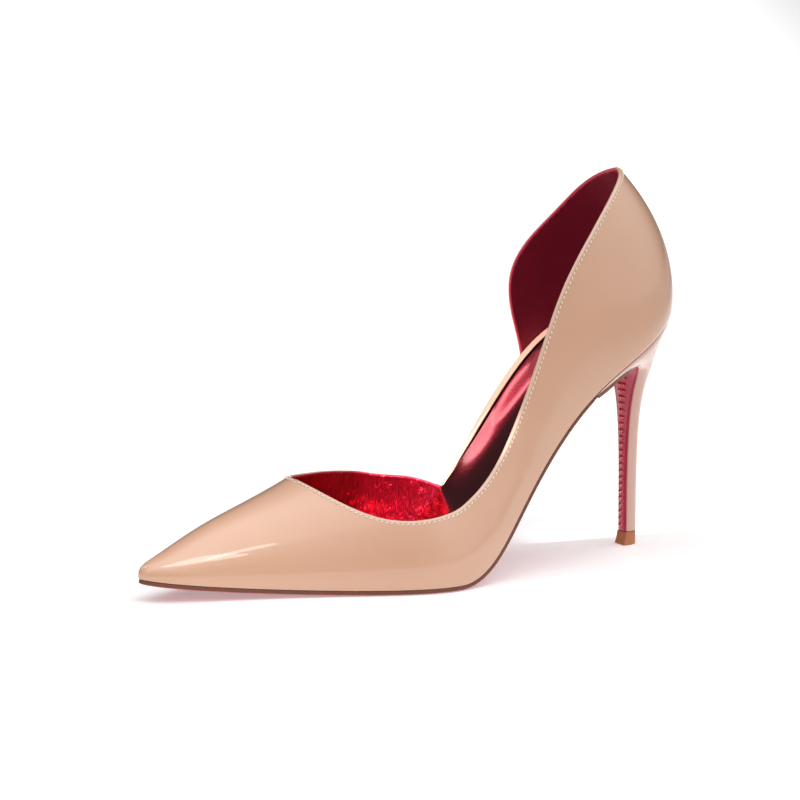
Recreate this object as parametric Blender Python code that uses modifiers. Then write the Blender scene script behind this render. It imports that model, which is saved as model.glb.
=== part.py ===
"""Pointed-toe stiletto pump for the left foot, open at the inner waist, built from a shoemaker's pieces.

Sizes are in millimetres until a mesh is made. The shoe's own axes run x from the toe tip to the back of the
seat, y from the outer side (minus) to the inner side (plus) and z up from the floor. An empty then puts the
middle of the shoe's box over the origin.
"""

import math

import bmesh
import bpy
import numpy as np

MM = 0.001
GAP = 0.3
JOIN_WITHIN = 0.01
SLIVER = 0.001
SHARP_EDGE_DEGREES = 40.0
SLOPE_STEP = 0.05
SHORTEST = 1e-6

# Last: the feather line is where upper and sole meet
LENGTH = 228.0
FEATHER_AT_BALL = 2.2
TREAD_START = 90.0
TREAD_END = 112.0
TOE_SPRING = 6.8
ROOF_PULL = 0.5
CROWN_STEP = 0.5

# One row a section: place, half widths of the feather line, the foot of the crown line over it,
# crown height, forward lean of the wall in degrees, outward flare at the feather in degrees, wall stiffness
LAST_COLUMNS = ("x", "outer", "inner", "crown_x", "crown", "lean", "flare", "stiff")
LAST_SECTIONS = (
    (0.0, 0.0, 0.0, 6.0, 8.0, 0.0, 14.0, 0.50),
    (10.0, 8.5, 8.0, 13.0, 12.2, 0.0, 12.0, 0.50),
    (30.0, 15.0, 17.0, 31.0, 22.5, 0.0, 9.0, 0.49),
    (60.0, 25.5, 28.0, 60.0, 35.5, 0.0, 8.0, 0.48),
    (85.0, 36.5, 34.5, 85.0, 47.0, 0.5, 8.0, 0.47),
    (105.0, 42.5, 33.5, 105.0, 55.0, 2.5, 8.0, 0.46),
    (125.0, 39.0, 29.0, 125.0, 64.0, 9.5, 8.5, 0.445),
    (150.0, 30.0, 24.0, 150.0, 75.5, 25.5, 10.0, 0.40),
    (175.0, 27.5, 24.0, 173.5, 86.0, 31.0, 12.5, 0.36),
    (198.0, 26.5, 24.5, 191.5, 90.5, 27.5, 17.0, 0.375),
    (215.0, 19.5, 19.2, 199.0, 93.5, 24.5, 23.0, 0.41),
    (228.0, 0.0, 0.0, 201.0, 95.0, 23.0, 30.0, 0.47),
)

# Rise of the feather line behind the tread
ARCH_COLUMNS = ("x", "rise")
ARCH = (
    (112.0, 0.0),
    (130.0, 7.5),
    (145.0, 24.0),
    (160.0, 43.0),
    (175.0, 59.5),
    (190.0, 71.0),
    (205.0, 79.5),
    (217.0, 86.0),
    (228.0, 91.5),
)

# The bottom curls up along the inner side of the waist: the inner feather line over the outer one
CURL_COLUMNS = ("x", "rise")
CURL = (
    (136.0, 0.0),
    (148.0, 1.2),
    (160.0, 4.1),
    (170.0, 5.7),
    (182.0, 6.9),
    (195.0, 6.4),
    (210.0, 2.8),
    (228.0, 0.0),
)
CURL_WIDTH = 0.9
CURL_START = 0.25

# Toplines: height over the feather line, measured along the lean of the wall
TOPLINE_COLUMNS = ("x", "height")
OUTER_TOPLINE = (
    (64.0, 37.3),
    (85.0, 26.0),
    (105.0, 25.6),
    (125.0, 27.6),
    (145.0, 23.0),
    (165.0, 27.2),
    (185.0, 40.5),
    (205.0, 52.3),
    (218.0, 57.2),
    (228.0, 58.4),
)
INNER_VAMP_TOPLINE = (
    (64.0, 37.3),
    (74.0, 35.6),
    (84.0, 34.7),
    (94.0, 33.9),
    (104.0, 32.8),
    (114.0, 31.2),
    (124.0, 26.6),
    (133.0, 18.5),
    (139.0, 9.6),
    (143.0, 1.5),
)
INNER_QUARTER_TOPLINE = (
    (178.0, 1.5),
    (179.4, 5.6),
    (182.4, 18.2),
    (187.0, 29.6),
    (196.2, 37.8),
    (209.0, 45.4),
    (219.8, 52.9),
    (228.0, 58.4),
)
UPPER_WALL = 1.6
FRONT_COLUMNS = 20
OUTER_COLUMNS = 42
INNER_VAMP_COLUMNS = 22
QUARTER_COLUMNS = 24
UPPER_ROWS = 12
WALL_STEPS = 160
TOPLINE_STEPS = 240

INSOLE_THICK = 3.0
INSOLE_INSET = 2.1
INSOLE_TOE = 5.0
INSOLE_TOE_INSET = 1.3
INSOLE_TOE_FADE = 60.0
BINDING_FRONT = 144.0
BINDING_BACK = 206.0
BINDING_ROOM = 1.1
BINDING_FADE = 16.0
BINDING_THICK = 0.7
BINDING_LAP = 2.6
BINDING_LAP_FRONT = 0.8
BINDING_LAP_FULL = 162.0
BINDING_BEVEL = 0.5
BINDING_STATIONS = 26

# Room under the insole, more than the gap elsewhere because each piece facets the curl in its own way
BOTTOM_GAP = 0.5
SOLE_THICK = FEATHER_AT_BALL - BOTTOM_GAP
SOLE_INSET = 0.3
SLAB_STATIONS = 44
SLAB_LANES = 5

# Heel: a slim stem that opens like a trumpet into the seat
SEAT_FRONT = 196.0
SEAT_INSET = 0.4
STEM_X = 211.4
STEM_FRONT = 1.6
STEM_BACK = 3.3
STEM_HALF_WIDTH = 3.3
STEM_SQUARENESS = 0.75
TOP_PIECE_HEIGHT = 5.3
TOP_PIECE_REACH = 0.6
TOP_PIECE_FLARE = 1.2
BREAST_LANES = 4
SIDE_LANES = 11
SEAT_FINENESS = 4
HEEL_RINGS = 20
HEEL_RING_CROWDING = 1.8

# One row a place round the seat: height of the straight rim, then the distance over which the trumpet fades
TRUMPET_COLUMNS = ("rim", "fade")
TRUMPET = {"front": (0.6, 7.0), "side": (1.2, 10.5), "back": (3.0, 14.0)}

PANEL_THICK = 0.9
PANEL_TOP_DROP = 0.4
SOLE_END = 193.6


def column(rows, columns, name):
    """One named column of a table as an array."""
    return np.array([row[columns.index(name)] for row in rows])


def spline(xs, ys, x, left=None):
    """Cubic spline through the points, with free ends or a given slope at its left end."""
    count = len(xs)
    step = np.diff(xs)
    slope = np.diff(ys) / step
    matrix = np.eye(count)
    right_side = np.zeros(count)
    for i in range(1, count - 1):
        matrix[i, i - 1 : i + 2] = step[i - 1], 2 * (step[i - 1] + step[i]), step[i]
        right_side[i] = 6 * (slope[i] - slope[i - 1])
    if left is not None:
        matrix[0, :2] = 2 * step[0], step[0]
        right_side[0] = 6 * (slope[0] - left)
    bend = np.linalg.solve(matrix, right_side)
    x = np.asarray(x, float)
    i = np.clip(np.searchsorted(xs, x) - 1, 0, count - 2)
    after = xs[i + 1] - x
    before = x - xs[i]
    cubic = (bend[i] * after**3 + bend[i + 1] * before**3) / (6 * step[i])
    first = (ys[i] / step[i] - bend[i] * step[i] / 6) * after
    second = (ys[i + 1] / step[i] - bend[i + 1] * step[i] / 6) * before
    return cubic + first + second


def turn_of(x):
    """Station number from 0 at the toe tip to 1 at the back, crowded towards both round ends."""
    return np.arccos(np.clip(1 - 2 * np.asarray(x, float) / LENGTH, -1, 1)) / math.pi


def place_of(turn):
    """Place along the shoe of a station number."""
    return LENGTH * (1 - np.cos(math.pi * np.asarray(turn, float))) / 2


def section(name, x):
    """A size of the last at any place, smooth between the sections."""
    places = turn_of(column(LAST_SECTIONS, LAST_COLUMNS, "x"))
    return spline(places, column(LAST_SECTIONS, LAST_COLUMNS, name), turn_of(x))


def feather_height(x):
    """Feather line over the floor: toe spring, flat tread, then the arch up to the seat."""
    x = np.asarray(x, float)
    spring = TOE_SPRING * (np.clip(TREAD_START - x, 0, None) / TREAD_START) ** 2
    rows = column(ARCH, ARCH_COLUMNS, "x"), column(ARCH, ARCH_COLUMNS, "rise")
    rise = np.where(x > TREAD_END, spline(*rows, np.maximum(x, TREAD_END), left=0.0), 0.0)
    return FEATHER_AT_BALL + spring + rise


def soft_step(x, start, end):
    """Smooth rise from 0 to 1 between two places."""
    k = np.clip((np.asarray(x, float) - start) / (end - start), 0, 1)
    return k * k * (3 - 2 * k)


def bottom_height(x, y):
    """Bottom of the last over the floor: level across, but for the curl up to the inner edge of the waist."""
    places, rises = column(CURL, CURL_COLUMNS, "x"), column(CURL, CURL_COLUMNS, "rise")
    curl = spline(places, rises, np.clip(x, places[0], places[-1]), left=0.0)
    edge = np.maximum(section("inner", x), SHORTEST) * CURL_WIDTH
    return feather_height(x) + np.maximum(curl, 0) * soft_step(np.asarray(y) / edge, CURL_START, 1)


def half_width(x, side):
    """Half width of the feather line on the outer (-1) or inner (+1) side."""
    return section("outer" if side < 0 else "inner", x)


def lean_direction(x):
    """Direction in which the wall climbs, leaning forward."""
    lean = np.radians(section("lean", x))
    return np.stack([-np.sin(lean), 0 * lean, np.cos(lean)], -1)


def crown_point(x):
    """The crown line over the shoe's middle, which closes the vamp."""
    under_crown = section("crown_x", x)
    below = np.stack([under_crown, 0 * under_crown, feather_height(under_crown)], -1)
    return below + lean_direction(x) * section("crown", x)[..., None]


def wall(x, side, t):
    """Point of the last's wall: a cubic curve from the feather line (t 0) to the crown line (t 1).

    In front of the throat the curve arrives in the crown line's own tangent plane, so that the two sides of
    the vamp meet without a crease.
    """
    x = np.asarray(x, float)
    t = np.asarray(t, float)[..., None]
    y = side * half_width(x, side)
    foot = np.stack([x, y, bottom_height(x, y)], -1)
    crown = crown_point(x)
    up = lean_direction(x)
    height = section("crown", x)[..., None]
    across = crown - up * height - foot
    out = -across / np.maximum(np.linalg.norm(across, axis=-1, keepdims=True), SHORTEST)
    flare = np.radians(section("flare", x))[..., None]
    stiff = section("stiff", x)[..., None]
    low = foot + height * stiff * (up * np.cos(flare) + out * np.sin(flare))
    throat = OUTER_TOPLINE[0][0]
    front = np.minimum(x, throat)
    ridge = crown_point(front + CROWN_STEP) - crown_point(front)
    along_ridge = across[..., 0] * ridge[..., 2] / ridge[..., 0]
    roof = np.stack([across[..., 0], across[..., 1], along_ridge], -1)
    roof = np.where(x[..., None] < throat, roof, across)
    high = crown - roof * ROOF_PULL
    return (1 - t) ** 3 * foot + 3 * (1 - t) ** 2 * t * low + 3 * (1 - t) * t**2 * high + t**3 * crown


def wall_parameter(x, side, height):
    """The wall's t at which each place reaches its height over the feather line."""
    steps = np.linspace(0, 1, WALL_STEPS + 1)
    grid_x = np.repeat(np.asarray(x, float)[:, None], len(steps), 1)
    points = wall(grid_x, side, np.broadcast_to(steps, grid_x.shape))
    climbs = np.einsum("ijk,ik->ij", points - points[:, :1], lean_direction(x))
    climbs = np.maximum.accumulate(climbs, axis=1)
    return np.array([np.interp(h, climb, steps) for h, climb in zip(height, climbs)])


def along_topline(rows, side, count):
    """Places and wall parameters at equal steps along a topline, measured in space."""
    turn = turn_of(column(rows, TOPLINE_COLUMNS, "x"))
    height = column(rows, TOPLINE_COLUMNS, "height")
    legs = np.hypot(np.diff(turn) * LENGTH * math.pi / 2, np.diff(height))
    run = np.concatenate([[0], np.cumsum(legs)])
    fine = np.linspace(0, run[-1], TOPLINE_STEPS + 1)
    fine_turn = np.minimum(spline(run, turn, fine), 1)
    fine_x = place_of(fine_turn)
    fine_t = wall_parameter(fine_x, side, spline(run, height, fine))
    pace = np.linalg.norm(np.diff(wall(fine_x, side, fine_t), axis=0), axis=1)
    walked = np.concatenate([[0], np.cumsum(pace)])
    steps = np.linspace(0, walked[-1], count + 1)
    return place_of(np.interp(steps, walked, fine_turn)), np.interp(steps, walked, fine_t)


def upper_columns():
    """Place, side and top t of each upright line of the upper, from the inner vamp's end round to the quarter."""
    front = place_of(np.linspace(0, turn_of(OUTER_TOPLINE[0][0]), FRONT_COLUMNS + 1))
    vamp_x, vamp_t = along_topline(INNER_VAMP_TOPLINE, 1, INNER_VAMP_COLUMNS)
    outer_x, outer_t = along_topline(OUTER_TOPLINE, -1, OUTER_COLUMNS)
    quarter_x, quarter_t = along_topline(INNER_QUARTER_TOPLINE, 1, QUARTER_COLUMNS)
    runs = (
        (vamp_x[:0:-1], 1, vamp_t[:0:-1]),
        (front[::-1], 1, np.ones(len(front))),
        (front[1:], -1, np.ones(len(front) - 1)),
        (outer_x[1:], -1, outer_t[1:]),
        (quarter_x[-2::-1], 1, quarter_t[-2::-1]),
    )
    x = np.concatenate([run[0] for run in runs])
    side = np.concatenate([np.full(len(run[0]), run[1]) for run in runs])
    top = np.concatenate([run[2] for run in runs])
    return x, side, top


def upper_surface():
    """Grid of points over the whole outside of the upper."""
    x, side, top = upper_columns()
    t = top[:, None] * np.linspace(0, 1, UPPER_ROWS + 1)
    grid_x = np.repeat(x[:, None], UPPER_ROWS + 1, 1)
    outer = wall(grid_x, -1, t)
    inner = wall(grid_x, 1, t)
    return np.where(side[:, None, None] < 0, outer, inner)


def inset_outline(turn, side, inset):
    """Plan of the feather line moved inwards by an inset."""
    x = place_of(turn)
    y = side * half_width(x, side)
    ahead = np.gradient(x, turn)
    sideways = np.gradient(y, turn)
    length = np.hypot(ahead, sideways)
    return x - side * -sideways / length * inset, y - side * ahead / length * inset


def slab_frame(x, y):
    """Unit normal of the bottom of the last at a place."""
    along = (bottom_height(x + SLOPE_STEP, y) - bottom_height(x - SLOPE_STEP, y)) / (2 * SLOPE_STEP)
    across = (bottom_height(x, y + SLOPE_STEP) - bottom_height(x, y - SLOPE_STEP)) / (2 * SLOPE_STEP)
    normal = np.stack([-along, -across, np.ones_like(along)], -1)
    return normal / np.linalg.norm(normal, axis=-1, keepdims=True)


def slab_surface(first_turn, last_turn, outer_inset, inner_inset, lift):
    """Grid along and across the bottom of the last, lifted off the feather line."""
    turn = np.linspace(first_turn, last_turn, SLAB_STATIONS + 1)
    outer_x, outer_y = inset_outline(turn, -1, outer_inset(place_of(turn)))
    inner_x, inner_y = inset_outline(turn, 1, inner_inset(place_of(turn)))
    lane = np.linspace(-1, 1, 2 * SLAB_LANES + 1)[None]
    x = outer_x[:, None] * (1 - lane) / 2 + inner_x[:, None] * (1 + lane) / 2
    y = np.where(lane < 0, -lane * outer_y[:, None], lane * inner_y[:, None])
    points = np.stack([x, y, bottom_height(x, y)], -1)
    return points + slab_frame(x, y) * lift


def insole_inset(x):
    """The insole stays clear of the upper, more so where the toe's wall curls over it."""
    return INSOLE_INSET + INSOLE_TOE_INSET * (1 - soft_step(x, 0, INSOLE_TOE_FADE))


def inner_insole_inset(x):
    """Along its inner edge the insole leaves room for the binding too."""
    rise = soft_step(x, BINDING_FRONT - BINDING_FADE, BINDING_FRONT)
    fall = soft_step(x, BINDING_BACK, BINDING_BACK + BINDING_FADE)
    return insole_inset(x) + BINDING_ROOM * rise * (1 - fall)


def binding_loops():
    """Section of the binding, an angle over the insole's inner edge, at stations along that edge."""
    turn = np.linspace(turn_of(BINDING_FRONT), turn_of(BINDING_BACK), BINDING_STATIONS + 1)
    x, y = inset_outline(turn, 1, inner_insole_inset(place_of(turn)))
    edge = np.stack([x, y, bottom_height(x, y)], -1)
    up = slab_frame(x, y)
    forward = np.gradient(edge, axis=0)
    forward /= np.linalg.norm(forward, axis=1, keepdims=True)
    out = np.cross(up, forward)
    inner = GAP
    outer = GAP + BINDING_THICK
    under = INSOLE_THICK + GAP
    over = under + BINDING_THICK
    widening = soft_step(x, BINDING_FRONT, BINDING_LAP_FULL)
    lap = BINDING_LAP_FRONT + (BINDING_LAP - BINDING_LAP_FRONT) * widening
    profile = (
        (outer, 0.0),
        (outer, over - BINDING_BEVEL),
        (outer - BINDING_BEVEL, over),
        (inner - lap, over),
        (inner - lap, under),
        (inner, under),
        (inner, 0.0),
    )
    away = np.stack([np.broadcast_to(p[0], x.shape) for p in profile], -1)[..., None]
    high = np.array([p[1] for p in profile])[None, :, None]
    return edge[:, None] + out[:, None] * away + up[:, None] * high


def seat_outline():
    """Half of the seat's outline for each side, from the middle of the breast to the back."""
    halves = []
    for side in (-1, 1):
        turn = np.linspace(turn_of(SEAT_FRONT), 1, SEAT_FINENESS * SIDE_LANES + 1)
        x, y = inset_outline(turn, side, SEAT_INSET)
        x, y = x[::SEAT_FINENESS], y[::SEAT_FINENESS]
        y[-1] = 0.0
        breast = np.linspace(0, 1, BREAST_LANES + 1)[:-1]
        x = np.concatenate([np.full(BREAST_LANES, x[0]), x])
        y = np.concatenate([breast * y[0], y])
        halves.append(np.stack([x, y], -1))
    return halves


def stem_outline():
    """Half of the stem's D-shaped section for each side, point for point with the seat's outline."""
    halves = []
    for side in (-1, 1):
        breast = np.linspace(0, 1, BREAST_LANES + 1)[:-1]
        angle = np.linspace(0, math.pi / 2, SIDE_LANES + 1)
        x = STEM_X - STEM_FRONT + (STEM_FRONT + STEM_BACK) * np.sin(angle) ** STEM_SQUARENESS
        y = side * STEM_HALF_WIDTH * np.cos(angle) ** STEM_SQUARENESS
        x = np.concatenate([np.full(BREAST_LANES, STEM_X - STEM_FRONT), x])
        y = np.concatenate([side * STEM_HALF_WIDTH * breast, y])
        halves.append(np.stack([x, y], -1))
    return halves


def trumpet(name):
    """Rim or fade for each point of a half outline, from breast to back."""
    front, side, back = (TRUMPET[place][TRUMPET_COLUMNS.index(name)] for place in ("front", "side", "back"))
    breast = np.linspace(front, side, BREAST_LANES + 1)[:-1]
    flank = side + (back - side) * np.linspace(0, 1, SIDE_LANES + 1) ** 2
    return np.concatenate([breast, flank])


def heel_halves():
    """Rings of each half of the heel from the seat down to the top piece."""
    rings = np.linspace(0, 1, HEEL_RINGS + 1) ** HEEL_RING_CROWDING
    bottom = TOP_PIECE_HEIGHT + GAP
    halves = []
    for seat, stem in zip(seat_outline(), stem_outline()):
        top = bottom_height(seat[:, 0], seat[:, 1]) - BOTTOM_GAP
        drop = rings[:, None] * (top - bottom)[None]
        spread = np.exp(-(drop**2 / (drop + trumpet("rim"))) / trumpet("fade"))
        spread = (spread - spread[-1:]) / (1 - spread[-1:])
        plan = stem[None] + spread[..., None] * (seat - stem)[None]
        halves.append(np.concatenate([plan, (top[None] - drop)[..., None]], -1))
    return halves


def panel_surface():
    """The heel's breast from edge to edge, moved forward by the gap in front of it."""
    outer, inner = heel_halves()
    lanes = BREAST_LANES + 1
    front = np.concatenate([outer[:, lanes - 1 : 0 : -1], inner[:, :lanes]], axis=1)
    deep = front[0, 0, 2] - front[:, 0, 2]
    drops = np.linspace(PANEL_TOP_DROP, deep[-1], 2 * HEEL_RINGS + 1)
    rows = [[np.interp(drops, deep, front[:, lane, k]) for k in range(3)] for lane in range(front.shape[1])]
    surface = np.transpose(np.array(rows), (2, 0, 1))
    down = np.gradient(surface, axis=0)
    across = np.gradient(surface, axis=1)
    normal = np.cross(across, down)
    normal /= np.linalg.norm(normal, axis=-1, keepdims=True)
    return surface + normal * GAP


def top_piece_rings():
    """Top and bottom ring of the top piece, whose front edge flares forward at the floor."""
    outer, inner = stem_outline()
    ring = np.concatenate([outer, inner[-2:0:-1]])
    forward = (STEM_X + STEM_BACK - ring[:, 0]) / (STEM_FRONT + STEM_BACK)
    rings = []
    for height, reach in ((TOP_PIECE_HEIGHT, TOP_PIECE_REACH), (0.0, TOP_PIECE_REACH + TOP_PIECE_FLARE)):
        x = ring[:, 0] - forward * reach
        rings.append(np.stack([x, ring[:, 1], np.full(len(ring), height)], -1))
    return np.array(rings)


def clear_scene():
    """Remove every object of the scene."""
    for thing in list(bpy.data.objects):
        bpy.data.objects.remove(thing, do_unlink=True)


def grid_faces(columns, rows, closed=False):
    """Faces of a grid of points counted row by row within each column."""
    last = columns if closed else columns - 1
    faces = []
    for i in range(last):
        j = (i + 1) % columns
        for k in range(rows - 1):
            faces.append((i * rows + k, j * rows + k, j * rows + k + 1, i * rows + k + 1))
    return faces


def material(name, colour, roughness, metallic=0.0, coat=0.0):
    """A Principled material with the piece's colour."""
    made = bpy.data.materials.new(name)
    made.use_nodes = True
    shader = made.node_tree.nodes["Principled BSDF"]
    shader.inputs["Base Color"].default_value = (*colour, 1.0)
    shader.inputs["Roughness"].default_value = roughness
    shader.inputs["Metallic"].default_value = metallic
    shader.inputs["Coat Weight"].default_value = coat
    return made


def piece(name, points, faces, look, collection, parent):
    """A named object from points in millimetres, with doubled points joined and smooth shading."""
    mesh = bpy.data.meshes.new(name)
    mesh.from_pydata((np.asarray(points).reshape(-1, 3) * MM).tolist(), [], faces)
    shape = bmesh.new()
    shape.from_mesh(mesh)
    bmesh.ops.remove_doubles(shape, verts=shape.verts, dist=JOIN_WITHIN * MM)
    bmesh.ops.dissolve_degenerate(shape, edges=shape.edges, dist=SLIVER * MM)
    shape.to_mesh(mesh)
    shape.free()
    mesh.shade_smooth()
    mesh.set_sharp_from_angle(angle=math.radians(SHARP_EDGE_DEGREES))
    mesh.materials.append(look)
    made = bpy.data.objects.new(name, mesh)
    made.parent = parent
    collection.objects.link(made)
    return made


def thicken(thing, thickness, offset):
    """Give an open surface its wall; offset -1 grows it behind the faces and +1 in front of them."""
    wall_of = thing.modifiers.new("wall", "SOLIDIFY")
    wall_of.thickness = thickness * MM
    wall_of.offset = offset
    wall_of.use_quality_normals = True


def make_upper(collection, parent):
    surface = upper_surface()
    look = material("nude_patent_leather", (0.62, 0.40, 0.29), 0.12, coat=0.8)
    upper = piece("upper", surface, grid_faces(*surface.shape[:2]), look, collection, parent)
    thicken(upper, UPPER_WALL, -1)


def make_insole(collection, parent):
    surface = slab_surface(turn_of(INSOLE_TOE), 1.0, insole_inset, inner_insole_inset, 0.0)
    look = material("burgundy_foil_sock", (0.20, 0.02, 0.03), 0.3, metallic=0.6)
    insole = piece("insole", surface, grid_faces(*surface.shape[:2]), look, collection, parent)
    thicken(insole, INSOLE_THICK, 1)


def make_binding(collection, parent):
    loops = binding_loops()
    stations, around = loops.shape[:2]
    faces = []
    for i in range(stations - 1):
        for k in range(around):
            n = (k + 1) % around
            faces.append((i * around + k, i * around + n, (i + 1) * around + n, (i + 1) * around + k))
    faces.append(tuple(range(around))[::-1])
    faces.append(tuple((stations - 1) * around + k for k in range(around)))
    look = material("nude_patent_binding", (0.62, 0.40, 0.29), 0.12, coat=0.8)
    piece("waist_binding", loops, faces, look, collection, parent)


def make_outsole(collection, parent):
    surface = slab_surface(0.0, turn_of(SOLE_END), lambda x: SOLE_INSET, lambda x: SOLE_INSET, -BOTTOM_GAP)
    look = material("red_lacquered_sole_leather", (0.30, 0.02, 0.03), 0.35)
    outsole = piece("outsole", surface, grid_faces(*surface.shape[:2]), look, collection, parent)
    thicken(outsole, SOLE_THICK, -1)


def make_heel(collection, parent):
    outer, inner = heel_halves()
    rings = np.concatenate([outer, inner[:, -2:0:-1]], axis=1)
    count, around = rings.shape[:2]
    half = BREAST_LANES + SIDE_LANES
    points = rings.transpose(1, 0, 2)
    faces = grid_faces(around, count, closed=True)
    faces.append(tuple(k * count + count - 1 for k in range(around)))
    # The seat's top has as many points across as the breast, so that it follows the curl of the bottom
    share = np.linspace(-1, 1, 2 * BREAST_LANES + 1)
    flank = np.arange(BREAST_LANES, half + 1)
    x = outer[0, flank, :1] * (1 - share) / 2 + inner[0, flank, :1] * (1 + share) / 2
    y = np.where(share < 0, -share * outer[0, flank, 1:2], share * inner[0, flank, 1:2])
    top = np.stack([x, y, bottom_height(x, y) - BOTTOM_GAP], -1)
    top[0] = np.concatenate([outer[0, BREAST_LANES::-1], inner[0, 1 : BREAST_LANES + 1]])
    faces += [tuple(len(rings.reshape(-1, 3)) + k for k in face) for face in grid_faces(*top.shape[:2])]
    points = np.concatenate([points.reshape(-1, 3), top.reshape(-1, 3)])
    look = material("nude_patent_heel_cover", (0.60, 0.40, 0.33), 0.15, coat=0.8)
    heel = piece("heel", points, faces, look, collection, parent)
    mend_normals(heel)


def make_breast_panel(collection, parent):
    surface = panel_surface()
    look = material("red_breast_panel", (0.35, 0.02, 0.05), 0.3)
    panel = piece("breast_panel", surface, grid_faces(*surface.shape[:2]), look, collection, parent)
    thicken(panel, PANEL_THICK, -1)


def make_top_piece(collection, parent):
    rings = top_piece_rings()
    around = rings.shape[1]
    faces = grid_faces(around, 2, closed=True)
    faces.append(tuple(2 * k for k in range(around)))
    faces.append(tuple(2 * k + 1 for k in range(around)))
    look = material("tan_top_piece", (0.30, 0.13, 0.06), 0.5)
    top = piece("top_piece", rings.transpose(1, 0, 2), faces, look, collection, parent)
    mend_normals(top)


def mend_normals(thing):
    """Turn the faces of a closed piece outwards."""
    shape = bmesh.new()
    shape.from_mesh(thing.data)
    bmesh.ops.recalc_face_normals(shape, faces=shape.faces)
    shape.to_mesh(thing.data)
    shape.free()


def centre_on_origin(collection, parent):
    """Move the empty so that the middle of the shoe's box stands over the origin."""
    graph = bpy.context.evaluated_depsgraph_get()
    corners = []
    for thing in collection.objects:
        if thing.type == "MESH":
            corners.extend(tuple(corner) for corner in thing.evaluated_get(graph).bound_box)
    corners = np.array(corners)
    middle = (corners.min(0) + corners.max(0)) / 2
    parent.location = (-middle[0], -middle[1], 0.0)


def main():
    clear_scene()
    collection = bpy.data.collections.new("stiletto_pump")
    bpy.context.scene.collection.children.link(collection)
    parent = bpy.data.objects.new("shoe_centre", None)
    collection.objects.link(parent)
    for make in (
        make_upper,
        make_insole,
        make_binding,
        make_outsole,
        make_heel,
        make_breast_panel,
        make_top_piece,
    ):
        make(collection, parent)
    bpy.context.view_layer.update()
    centre_on_origin(collection, parent)


if __name__ == "__main__":
    main()
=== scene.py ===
"""Dressed model of a pointed stiletto pump for the left foot: a Blender add-on that is run as a script.

Sizes of the shoe are in millimetres in its own axes: x from the toe tip to the back of the seat, y from the
outer side (minus) to the inner side (plus), z up from the floor. A mesh is moved to the frame's axes, in
metres, when it is made.
"""

import math

import bmesh
import bpy
import numpy as np
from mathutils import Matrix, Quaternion, Vector


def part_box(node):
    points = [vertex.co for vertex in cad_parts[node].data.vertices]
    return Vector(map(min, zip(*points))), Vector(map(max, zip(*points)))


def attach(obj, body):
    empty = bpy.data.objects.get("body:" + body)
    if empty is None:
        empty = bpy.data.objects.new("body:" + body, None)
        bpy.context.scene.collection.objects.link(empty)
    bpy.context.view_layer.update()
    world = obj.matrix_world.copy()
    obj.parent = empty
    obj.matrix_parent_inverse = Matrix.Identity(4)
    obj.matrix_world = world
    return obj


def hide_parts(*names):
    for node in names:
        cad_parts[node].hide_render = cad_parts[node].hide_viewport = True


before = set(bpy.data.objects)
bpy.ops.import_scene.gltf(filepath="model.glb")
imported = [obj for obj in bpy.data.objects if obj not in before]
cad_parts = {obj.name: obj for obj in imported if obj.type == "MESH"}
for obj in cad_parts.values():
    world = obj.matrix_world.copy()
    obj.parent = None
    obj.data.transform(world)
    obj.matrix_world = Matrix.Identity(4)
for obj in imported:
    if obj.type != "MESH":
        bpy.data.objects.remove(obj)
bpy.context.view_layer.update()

bl_info = {
    "name": "Stiletto Pump",
    "version": (1, 0, 0),
    "blender": (4, 5, 0),
    "location": "3D View > Sidebar > Pump",
    "description": "Dresses the packed solids of a patent stiletto pump and sets its stage",
    "category": "Object",
}

MM = 0.001
JOIN_WITHIN = 0.004
SHORTEST = 1e-6
SLOPE_STEP = 0.05

# Last: the same sizes as the solids
LENGTH = 228.0
FEATHER_AT_BALL = 2.2
TREAD_START = 90.0
TREAD_END = 112.0
TOE_SPRING = 6.8
ROOF_PULL = 0.5
CROWN_STEP = 0.5
GAP = 0.3
LAST_COLUMNS = ("x", "outer", "inner", "crown_x", "crown", "lean", "flare", "stiff")
LAST_SECTIONS = (
    (0.0, 0.0, 0.0, 6.0, 8.0, 0.0, 14.0, 0.50),
    (10.0, 8.5, 8.0, 13.0, 12.2, 0.0, 12.0, 0.50),
    (30.0, 15.0, 17.0, 31.0, 22.5, 0.0, 9.0, 0.49),
    (60.0, 25.5, 28.0, 60.0, 35.5, 0.0, 8.0, 0.48),
    (85.0, 36.5, 34.5, 85.0, 47.0, 0.5, 8.0, 0.47),
    (105.0, 42.5, 33.5, 105.0, 55.0, 2.5, 8.0, 0.46),
    (125.0, 39.0, 29.0, 125.0, 64.0, 9.5, 8.5, 0.445),
    (150.0, 30.0, 24.0, 150.0, 75.5, 25.5, 10.0, 0.40),
    (175.0, 27.5, 24.0, 173.5, 86.0, 31.0, 12.5, 0.36),
    (198.0, 26.5, 24.5, 191.5, 90.5, 27.5, 17.0, 0.375),
    (215.0, 19.5, 19.2, 199.0, 93.5, 24.5, 23.0, 0.41),
    (228.0, 0.0, 0.0, 201.0, 95.0, 23.0, 30.0, 0.47),
)
ARCH_COLUMNS = ("x", "rise")
ARCH = (
    (112.0, 0.0),
    (130.0, 7.5),
    (145.0, 24.0),
    (160.0, 43.0),
    (175.0, 59.5),
    (190.0, 71.0),
    (205.0, 79.5),
    (217.0, 86.0),
    (228.0, 91.5),
)
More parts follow.
